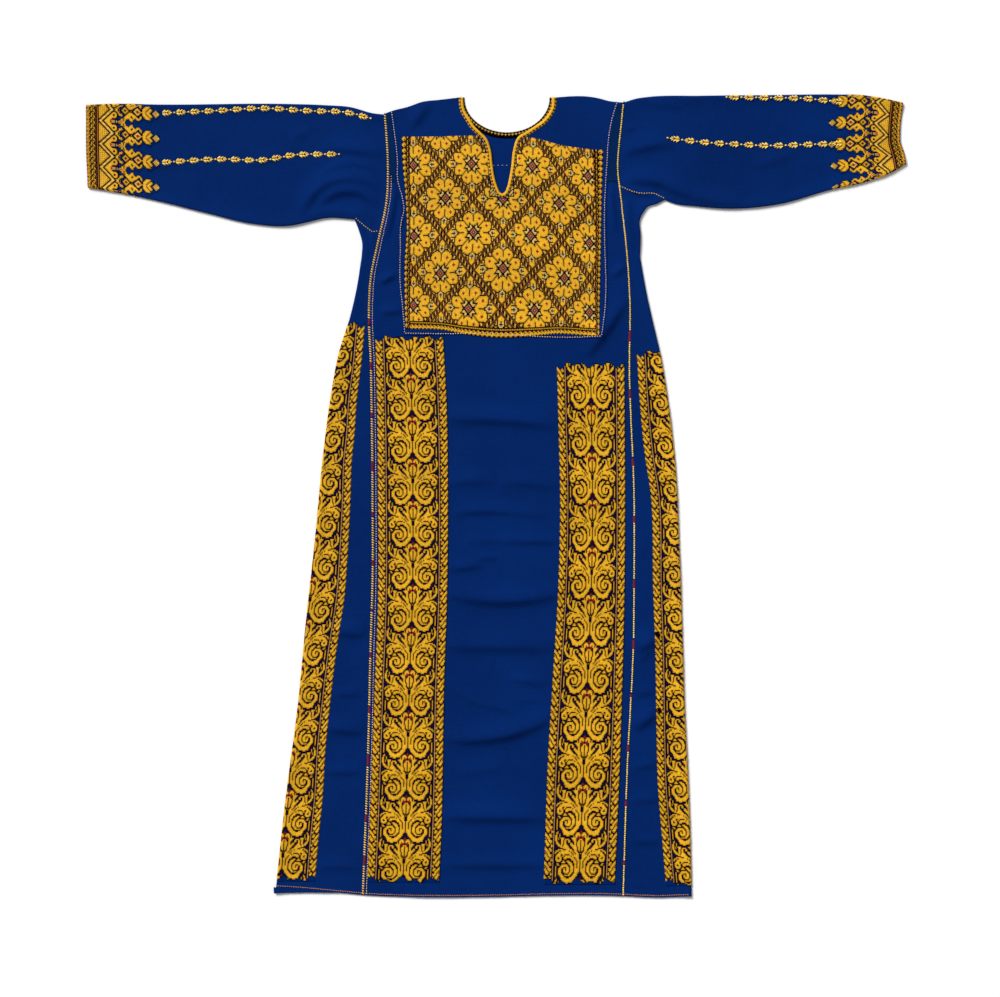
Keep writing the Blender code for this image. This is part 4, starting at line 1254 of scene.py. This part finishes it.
bands = {}
for name, (first_y, rows, pitch, shift, edges) in FRONT_BANDS.items():
    worked = band_chart(rows, shift)
    y = first_y - pitch * np.arange(rows + 1)
    ends = smooth_columns(edges, y)
    share = np.linspace(0, 1, worked.shape[1])[None]
    share = np.hstack([share, 1 + share[:, 1:2]])
    x = ends[:, :1] + share * (ends[:, 1:] - ends[:, :1])
    ground = front_skin(np.dstack([x, np.broadcast_to(y[:, None], x.shape)]))
    bands[name + "_front"] = stitched_piece(
        name + "_front_band", ground, upward(ground), worked, block=BAND_BLOCK,
    )
for name, (first_y, rows, pitch, shift, edge) in SIDE_BANDS.items():
    side, column = ARMS[name][:2]
    worked = band_chart(rows, shift)
    y = first_y - pitch * np.arange(rows + 1)
    inner_x = smooth_columns(edge, y)[:, 0]
    distances = SIDE_BAND_SQUARE * np.arange(worked.shape[1] + 1)
    ground, way, room = round_the_side(inner_x, y, side, column, distances)
    blocks = (rows // BAND_BLOCK[0], worked.shape[1] // BAND_BLOCK[1])
    room = room[:-1].reshape(blocks[0], -1).min(axis=1) - SIDE_BAND_STOP
    kept = distances[BAND_BLOCK[1]::BAND_BLOCK[1]][None] < room[:, None]
    bands[name + "_side"] = stitched_piece(
        name + "_side_band", ground, way, worked, kept, BAND_BLOCK,
    )
for band in bands.values():
    belongs(band, "embroidery")

# ---- Cuffs ----
# Each cuff has a row of small rings, a zigzag with a lily in every bay, and a tall flower on
# every point, worked all round the sleeve. Its very edge is bound with gold stitches.

CUFF_BORDER = """
o.o..oo..t
oo.o.o.o..
.oo.oo.oo.
oo.o....o.
o.oo..oo.t
t.o..o.o..
"""
# Half a repeat from a flower's axis to a lily's, one row for each stitch round the sleeve
CUFF_FLOWER = """
.t.oooooooooo..ppp..pp.w..oo...oo..o..poxxxxoooooooooo..wpgogopp
.t.ogogogogo..ppp..ooo.ow..oo.oo.......poxxoo..ooo.oooo.w.pgogp.
.t.oooooooo..ooo.....oo.ww..ooo..oooo...poop...oooo.oooo...pgp.w
.t.ogogogo..ooo..ooo..oo.ww..o..oooooo...pp..wwooooo.oooo.w.p.ww
.t.oooooo..ppp..ooooo..ooo.w...ooooooooo.....ow.ooooo.oo..ww.www
.t.ogogo..ppp..oo..oo..oooo...ooooo.ooooo...ooww.ooooo.wwwwwwwww
.t.oooo..ooo..ooo..oo..wwo...oooooo..ooooo..oowww.ooooo.wwwwwwww
.t.ogo..ooo..oooooooo..ww.w.oooooooo.oo.ooooo.wwww.....wwwwwwwww
.t.oo..ppp..oooooooo..wwww.o.ooo.ooooo.w.ooo.wwwwwwwwwwwwwwwwwww
.t.o..ppp..ooooo......wwwoo.oowww.ooo.www...wwwwwwwwwwwwwwwwwwww
.t...ooo..ooooo........w.oo.oowwww.oo.wwwwwwwwwwwwwwwwwwwwwwwwww
.t..ooo..oooooxllll.l..ooxoxo.wwwwwwwwwwwwwwwwwwwwwwwwwwwwwwwwww
.t.ppp..ooooooxxlll.lloxxoxpo.wwwwwwwwwwwwwwwwwwwwwwwwwwwwwwwwww
"""
CUFF_EDGE = """
toto
..to
t.ot
ttoo
"""
CUFF_SQUARE = 1.667  # along the sleeve
CUFF_ROUND = 192  # stitches round each sleeve, which is eight flowers
ROWS_BEFORE_FLOWER = 12  # stitches of the loop before the first flower's axis
EDGE_DEPTH = 1.1  # thickness of the worked edge
EDGE_PROUD = 0.05  # how far its stitches stand up from the sleeve's cloth
EDGE_LAP = 0.4  # how far it laps the cotton
CUFF_BLOCK = (2, 2)  # squares to one face of the underside
# How far the first flower's axis lies below the upper fold, and the stitches' pitch round the
# sleeve, each at the cuff and at the flowers' tips, and the number of stitches so spaced
CUFF_SET = {
    "left": ((5.4, 16.0), (1.629, 1.728), 96),
    "right": ((8.9, 10.5), (1.459, 1.544), 109),
}


def sleeve_loops(name, distances):
    """Loops of stitch corners round a sleeve at distances from its cuff, with outward ways.

    Front, lower fold, underside and upper fold are joined end to end. The stitches are evenly
    spaced from the first flower's axis over the front, and what is left of them evenly behind.
    """
    sheets = sleeve_sheets(name, distances / sleeve_lengths[name])
    lines = len(distances)
    over, under, upper, lower = (np.dstack(sheet)[:lines] for sheet in sheets)
    loops = np.concatenate([
        over, lower[:, 1:-1], under[:, ::-1], upper[:, -2:0:-1], over[:, :1],
    ], axis=1)
    step = np.linalg.norm(np.diff(loops[..., :3], axis=1), axis=2)
    run = np.hstack([np.zeros((lines, 1)), np.cumsum(step, axis=1)])
    firsts, pitches, spaced = CUFF_SET[name]
    along = np.clip(distances / CUFF_LENGTH, 0, 1)
    first, pitch = (pair[0] + along * (pair[1] - pair[0]) for pair in (firsts, pitches))
    start = first - ROWS_BEFORE_FLOWER * pitch
    read = []
    for line in range(lines):
        place = np.interp(
            np.arange(CUFF_ROUND + 1), [0, spaced, CUFF_ROUND],
            start[line] + (0, spaced * pitch[line], run[line, -1]),
        )
        read.append(np.column_stack([
            np.interp(place, run[line], part, period=run[line, -1]) for part in loops[line].T
        ]))
    ground, way = np.split(np.stack(read, axis=1), 2, axis=2)
    return ground, way / np.linalg.norm(way, axis=2)[..., None]


half = charted(CUFF_FLOWER)
flower = np.vstack([half, half[-2:0:-1]])
border = charted(CUFF_BORDER)
at = np.arange(CUFF_ROUND)
worked = np.hstack([
    border[at % len(border)], flower[(at - ROWS_BEFORE_FLOWER) % len(flower)],
])
edge = charted(CUFF_EDGE)
edge = edge[at % len(edge)]
CUFF_LENGTH = EDGING_WIDTH + CUFF_SQUARE * worked.shape[1]
close = worked != "w"
for way in NEIGHBOURS:
    close |= np.roll(worked != "w", way, axis=(0, 1))
close[:, -1] = worked[:, -1] != "w"
down, across = CUFF_BLOCK
close = close.reshape(CUFF_ROUND // down, down, -1, across).any(axis=(1, 3))
worked = shade_the_ground(worked)
cuffs, edgings = {}, {}
for name in CUFF_SET:
    distances = EDGING_WIDTH + CUFF_SQUARE * np.arange(worked.shape[1] + 1)
    ground, way = sleeve_loops(name, distances)
    cuffs[name] = stitched_piece(name + "_cuff", ground, way, worked, close, CUFF_BLOCK)
    belongs(cuffs[name], "embroidery")
    distances = np.linspace(0, EDGING_WIDTH + EDGE_LAP, edge.shape[1] + 1)
    ground, way = sleeve_loops(name, distances)
    edgings[name] = stitched_piece(
        name + "_cuff_edge", ground + way * EDGE_PROUD, way, edge, depth=EDGE_DEPTH,
    )
    belongs(edgings[name], "edging", name + "_cuff_edging")

# ---- Neck bindings ----
# The cut edge of the front's neck and slit is bound with close gold stitches over a cord, with
# dark points on its outer side. The back's neck is bound in black, with a yellow chain on it.

FRONT_BINDING = (0.9, -6.5)  # outer and inner edge, from the cut edge
FRONT_BINDING_LIFT = 1.3  # how far its sides stand above the front panel
FRONT_CROWN = 0.8  # how far its middle stands above them
FRONT_BINDING_DEPTH = 2.6  # which takes it down over the cut edge to the back panel
BACK_BINDING = (2.0, -8.5)
BACK_BINDING_TOP = 1.0  # how far its sides stand above the table
BACK_CROWN = 0.5
CROWN_FROM = 0.06  # share of the half wave that is cut off at each side
BINDING_SQUARE = 1.55
GOLD_BINDING = """
o.ooo
..ooo
o.ooo
ooooo
"""
BLACK_BINDING = """
bbbbob.
bbbopbo
bbbbob.
bbbb.b.
"""


def neck_binding(name, pattern, cut, edges, height, crown, depth):
    """A strip of stitches along a cut edge, repeating its pattern.

    The strip's height is that of its middle line plus a half wave across it, crown high.
    """
    chart = charted(pattern)
    across = chart.shape[1]
    length = np.linalg.norm(np.diff(cut, axis=0), axis=1).sum()
    lines = 2 * int(length / BINDING_SQUARE / 2)
    curve = smooth_curve(cut, np.linspace(0, 1, lines + 1))
    off = np.linspace(*edges, across + 1)
    flat = curve[:, None] + off[None, :, None] * sideways(curve)[:, None]
    wave = crown * np.sin(np.pi * np.linspace(CROWN_FROM, 1 - CROWN_FROM, across + 1))
    ground = np.dstack([flat, height(curve[:, None]) + wave])
    worked = chart[np.arange(lines) % len(chart)]
    return stitched_piece(name, ground, upward(ground), worked, depth=depth)


front_binding = neck_binding(
    "front_binding", GOLD_BINDING, np.vstack([LEFT_NECK[::-1], RIGHT_NECK[1:]]), FRONT_BINDING,
    lambda middle: front_height(middle) + FRONT_BINDING_LIFT, FRONT_CROWN,
    FRONT_BINDING_DEPTH,
)
belongs(front_binding, "edging", "front_neck_binding")
back_binding = neck_binding(
    "back_binding", BLACK_BINDING, np.vstack([left_scoop[::-1], right_scoop[1:]]), BACK_BINDING,
    lambda middle: np.full(middle.shape[:2], BACK_BINDING_TOP), BACK_CROWN, BACK_BINDING_TOP,
)
belongs(back_binding, "dark_edging", "back_neck_binding")

# ---- Seam stitches, running stitches and hem ----
# The front seams are covered with yellow stitches, caught down here and there by red bars. Thin
# rose stitches hold the chest panel, yellow ones the arm seams, and brown ones the turned-up hem.

YELLOW = (0.900, 0.560, 0.075)
PALE_YELLOW = (1.000, 0.700, 0.140)
ROSE = (0.850, 0.600, 0.460)
MADDER = (0.200, 0.007, 0.014)
BROWN = (0.420, 0.190, 0.060)
WHITE = (0.620, 0.640, 0.640)
THREAD_SIDES = 5
# Rings of a thread: share of its length, and radius as a share of its own
THREAD_RINGS = np.array([(0.05, 0.62), (0.30, 1.0), (0.70, 1.0), (0.95, 0.62)])
THREAD_BULGE = 1.55  # in radii, how far the middle stands over the ends
THREAD_SINK = 0.45  # in radii, how deep the ends lie
SUNK = 0.22  # how far they go down into the cloth besides
THREAD_TONES = (0.82, 1.12)  # darkest and lightest, as shares of the thread's own colour
WHIPPED_LINE = (4.1, 2.1, 1.15)  # pitch, half width, thread radius
WHIPPED_SLANT = 1.1  # half of a whipped stitch's reach along the seam
SEAM_LINE = (3.7, 3.3, 1.40)  # pitch, stitch length, thread radius
ROSE_LINE = (4.2, 2.6, 0.72)
HEM_LINE = (3.8, 3.3, 0.80)
ROSE_BESIDE_SEAM = 5.6
ROSE_TOP = 545.0  # where that line ends, under the arm
SEAM_TOPS = (647.0, 665.0)  # where the yellow stitches of each seam end
SEAM_STITCH_STOP = 1.0  # from the hem to the first stitch of a seam
HEM_LINE_RISE = 3.4  # from the hem to its stitches
HEM_LINE_STOP = 5.0  # from the side folds to their ends
BAR_LINE = (0.95, 2.3, 0.62)  # pitch, half width, thread radius
BAR_SLANT = 0.35
BAR_POINTS = 3
# Least and greatest shares of a stitch's length or half width, and how far one may stray
RUNNING_LENGTHS, WHIPPED_WIDTHS, BAR_WIDTHS = (0.85, 1.1), (0.9, 1.1), (0.75, 1.1)
RUNNING_STRAY = 0.25
SIDE_POINTS = 60  # points down a seam, for the stitches' curves
# Red bars on each front seam, as the heights between which they run
RED_BARS = {
    "left": (
        (301, 291), (228, 214), (143, 134), (60, 42), (-26, -34), (-107, -119), (-190, -194),
        (-265, -275), (-357, -369), (-439, -457), (-541, -552), (-609, -627),
    ),
    "right": (
        (280, 260), (180, 164), (63, 49), (-34, -46), (-143, -158), (-245, -260), (-337, -343),
        (-423, -437), (-518, -530), (-620, -629),
    ),
}
# Stitched outline of the chest panel from its left shoulder down, along its foot, and up
CHEST_OUTLINE = (
    [(-177, 653), (-171, 610), (-167, 573), (-166, 534), (-159, 508), (-156, 488), (-161, 461),
     (-162, 416), (-162.5, 365), (-158, 321), (-154.5, 277)],
    [(-154.5, 276.5), (-88, 275.5), (-6, 276.5), (51, 272), (124, 269.5), (179, 271)],
    [(179.5, 272), (186, 325), (187, 354), (185, 427), (185, 500), (187, 537), (189, 568),
     (191, 602), (195.5, 632), (205.5, 668)],
)
# White marks on the back panel inside the slit: first and last x, y and number
SLIT_MARKS = (-11.0, 19.0, 562.0, 5)
MARK_HALF, MARK_RADIUS = 1.1, 0.55


def thread_work():
    """Twisted thread: its own colour, with painted shade in the twist's grooves and painted light
    on its ridges, and slightly shiny along the twist.

    The twist is a sawtooth of the way round the thread plus the way along it.
    """
    made, shader, add, _ = new_finish("twisted_thread", {
        "Roughness": 0.55, "Specular IOR Level": 0.2,
    })
    colour, place = add("Attribute"), add("UVMap")
    colour.attribute_name, place.uv_map = "thread", "twist"
    wave = add("TexWave", Scale=0.35, Vector=place.outputs["UV"])
    wave.bands_direction = "DIAGONAL"
    twist = wave.outputs["Fac"]
    # painted shade and light: the colour runs from 0.80 to 1.12 of its own across the twist
    tone = feed(add("MapRange", Value=twist), {"To Min": 0.80, "To Max": 1.12}).outputs["Result"]
    bump = add("Bump", Strength=0.4, Distance=0.0002, Height=twist)
    feed(shader, {
        "Base Color": add("VectorMath", "SCALE", colour.outputs["Color"], Scale=tone).outputs[0],
        "Normal": bump.outputs["Normal"],
    })
    return made


twisted_thread = thread_work()


def evenly(points, pitch):
    """Points at an even pitch along a smooth curve, with unit ways along it and to its right."""
    points = np.asarray(points, float)
    length = np.linalg.norm(np.diff(points, axis=0), axis=1).sum()
    count = max(int(length / pitch), 2)
    curve = smooth_curve(points, (np.arange(count) + 0.5) / count)
    right = sideways(curve)
    return curve, np.column_stack([-right[:, 1], right[:, 0]]), right


def running(points, pitch, length, radius, colour, beside=0.0):
    """Running stitches along a curve: starts, ends, radius and colour of every thread."""
    at, way, right = evenly(points, pitch)
    stray = rng.uniform(-RUNNING_STRAY, RUNNING_STRAY, (len(at), 1))
    at = at + beside * right + stray * right
    half = length / 2 * rng.uniform(*RUNNING_LENGTHS, (len(at), 1))
    return at - way * half, at + way * half, radius, colour


def whipped(points, pitch, half_width, radius, colour):
    """Slanting stitches over a curve, from one side's start of each step to the other's end."""
    at, way, right = evenly(points, pitch)
    out = right * (half_width * rng.uniform(*WHIPPED_WIDTHS, (len(at), 1)))
    slant = way * WHIPPED_SLANT
    return at - out + slant, at + out - slant, radius, colour


def bars(points, pitch, half_width, radius, colour):
    """Close bars across a curve, uneven at both ends."""
    at, way, right = evenly(points, pitch)
    out = half_width * rng.uniform(*BAR_WIDTHS, (2, len(at), 1))
    slant = way * BAR_SLANT
    return at - right * out[0] - slant, at + right * out[1] + slant, radius, colour


def threads(name, groups, surface):
    """One mesh of many short threads, each a five-sided tube closed to a point at both ends.

    A thread's middle line runs straight from start to end, bulges up by the root of half a wave,
    and dips into the surface at both ends. groups are (starts, ends, radius, colour).
    """
    starts, ends, radius, colour = (
        np.vstack([np.broadcast_to(group[part], (len(group[0]), wide)) for group in groups])
        for part, wide in enumerate((2, 2, 1, 3))
    )
    count, rings = len(starts), len(THREAD_RINGS)
    along = ends - starts
    length = np.linalg.norm(along, axis=1)
    side = np.column_stack([along[:, 1], -along[:, 0]]) / length[:, None]
    share = np.concatenate([[0.0], THREAD_RINGS[:, 0], [1.0]])
    line = starts[:, None] + along[:, None] * share[None, :, None]
    bulge = THREAD_BULGE * np.sin(np.pi * share) ** 0.5 - THREAD_SINK
    height = surface(line) + radius * bulge
    height[:, [0, 1, -2, -1]] -= SUNK
    size = (radius * THREAD_RINGS[:, 1])[:, :, None]
    angle = 2 * np.pi * np.arange(THREAD_SIDES) / THREAD_SIDES
    out = (np.cos(angle) * size)[..., None] * side[:, None, None]
    tube = np.concatenate([
        line[:, 1:-1, None] + out, (height[:, 1:-1, None] + np.sin(angle) * size)[..., None],
    ], axis=-1)
    tips = np.dstack([line[:, [0, -1]], height[:, [0, -1]]])
    points = np.concatenate([tube.reshape(count, -1, 3), tips], axis=1).reshape(-1, 3)

    ring, spoke = np.mgrid[0:rings - 1, 0:THREAD_SIDES][..., None]
    ring, spoke = ring + (0, 1, 1, 0), spoke + (0, 0, 1, 1)
    sides = (ring * THREAD_SIDES + spoke % THREAD_SIDES).reshape(-1, 4)
    first, after = spoke[0, :, 0], spoke[0, :, 2] % THREAD_SIDES
    last, tip = (rings - 1) * THREAD_SIDES, np.full(THREAD_SIDES, rings * THREAD_SIDES)
    caps = np.vstack([
        np.column_stack([tip, first, after]),
        np.column_stack([tip + 1, last + after, last + first]),
    ])
    base = (rings * THREAD_SIDES + 2) * np.arange(count)[:, None, None]
    faces = (base + sides).reshape(-1, 4).tolist() + (base + caps).reshape(-1, 3).tolist()
    mesh = bpy.data.meshes.new(name)
    mesh.from_pydata(points * MM, [], faces)

    colour = colour * rng.uniform(*THREAD_TONES, (count, 1))
    colour = np.column_stack([colour, np.ones(count)])
    colour = np.vstack([np.repeat(colour, len(part), axis=0) for part in (sides, caps)])
    mesh.attributes.new("thread", "FLOAT_COLOR", "FACE").data.foreach_set("color", colour.ravel())
    run = THREAD_RINGS[ring, 0] * length[:, None, None, None]
    twist = np.stack([np.broadcast_to(spoke / THREAD_SIDES, run.shape), run], axis=-1)
    mesh.uv_layers.new(name="twist").data.foreach_set(
        "uv", np.concatenate([twist.ravel(), np.zeros(count * caps.size * 2)]),
    )
    mesh.shade_smooth()
    mesh.materials.append(twisted_thread)
    return placed(name, mesh)


seam_stitches, arm_stitches = {}, {}
for column, name in enumerate(ARMS):
    low_y = smooth_columns(HEM, [SEAMS[-1, column + 1]])[0, 0] + SEAM_STITCH_STOP
    seam = seam_rows_between(low_y, SEAM_TOPS[column], SIDE_POINTS, column)
    work = []
    if name == "left":
        beside = seam_rows_between(low_y, ROSE_TOP, SIDE_POINTS, column)
        work.append(running(beside, *ROSE_LINE, ROSE, beside=ROSE_BESIDE_SEAM))
        starts, ends, radius, colour = whipped(seam, *WHIPPED_LINE, YELLOW)
    else:
        starts, ends, radius, colour = running(seam, *SEAM_LINE, PALE_YELLOW)
    seen = np.ones(len(starts), bool)
    for top_y, foot_y in RED_BARS[name]:
        bar = seam_rows_between(foot_y, top_y, BAR_POINTS, column)
        work.append(bars(bar, *BAR_LINE, MADDER))
        seen &= (starts[:, 1] < foot_y) | (starts[:, 1] > top_y)
    work.append((starts[seen], ends[seen], radius, colour))
    seam_stitches[name] = threads(name + "_seam_stitches", work, front_height)
for name in ARMS:
    work = [running(arm_seams[name][:-1], *ROSE_LINE, YELLOW)]
    arm_stitches[name] = threads(name + "_arm_stitches", work, front_height)
chest_outline = threads(
    "chest_outline", [running(line, *ROSE_LINE, ROSE) for line in CHEST_OUTLINE],
    lambda line: front_height(line) + CHEST_LAYER,
)
hem_curve = HEM + (0, HEM_LINE_RISE)
hem_curve[[0, -1], 0] += (HEM_LINE_STOP, -HEM_LINE_STOP)
hem_stitches = threads("hem_stitches", [running(hem_curve, *HEM_LINE, BROWN)], front_height)
first, last, height, count = SLIT_MARKS
mark = np.column_stack([np.linspace(first, last, count), np.full(count, height)])
slit_marks = threads(
    "slit_marks", [(mark - (MARK_HALF, 0), mark + (MARK_HALF, 0), MARK_RADIUS, WHITE)],
    lambda line: np.full(line.shape[:-1], CLOTH),
)
for piece in (
    *seam_stitches.values(), *arm_stitches.values(), chest_outline, hem_stitches, slit_marks,
):
    belongs(piece, "embroidery")

# ---- Leaf chains on the sleeves ----
# Two rows of small leaves run along each sleeve from the cuff. A leaf is four pairs of slanting
# satin stitches with a stitch for its tip, and a small knot of thread leads to the next one.

LEAF_PITCH = 23.3
ROOT_GAP = 0.5  # from the vein to a stitch's root
WIDE_LEAF = 4.0  # stitches that reach further out than this are the pale ones
# Pairs of stitches: root along the leaf, how far it reaches on and out to the side, radius
LEAF_PAIRS = (
    (-9.0, 5.6, 5.2, 1.3), (-6.8, 5.0, 3.2, 1.1), (-3.4, 5.2, 4.6, 1.2), (0.8, 4.8, 3.2, 1.1),
)
LEAF_TIP = (2.5, 8.0, 1.1)
LEAF_KNOT = (9.6, 13.6, 1.45)
LEAF_CHAINS = {
    "left": (
        [(-569, 650), (-467, 654.5), (-406, 658), (-312, 653.5), (-253, 651), (-212, 641)],
        [(-569, 566), (-467, 572), (-389, 571), (-350, 578), (-266, 580.5)],
    ),
    "right": (
        [(592, 668.5), (570, 670.5), (534, 674), (463, 676), (391, 677)],
        [(592, 599), (534, 597), (463, 595), (413.5, 597), (362.5, 600), (320, 604.5),
         (291, 608)],
    ),
}


def leaf_threads(path):
    """Threads of a chain: pairs that lean forward from the vein, the tips, and the knots.

    Every stitch starts and ends at its leaf's middle plus set lengths along and across its way.
    """
    at, way, right = evenly(path, LEAF_PITCH)
    work = []
    for root, reach, out, radius in LEAF_PAIRS:
        for side in (-1, 1):
            start = at + way * root + right * side * ROOT_GAP
            end = at + way * (root + reach) + right * side * out
            work.append((start, end, radius, PALE_YELLOW if out > WIDE_LEAF else YELLOW))
    for first_at, last_at, radius in (LEAF_TIP, LEAF_KNOT):
        work.append((at + way * first_at, at + way * last_at, radius, PALE_YELLOW))
    return work


leaf_chains = {}
for name, paths in LEAF_CHAINS.items():
    work = [group for path in paths for group in leaf_threads(path)]
    leaf_chains[name] = threads(name + "_leaf_chains", work, front_height)
    belongs(leaf_chains[name], "embroidery")
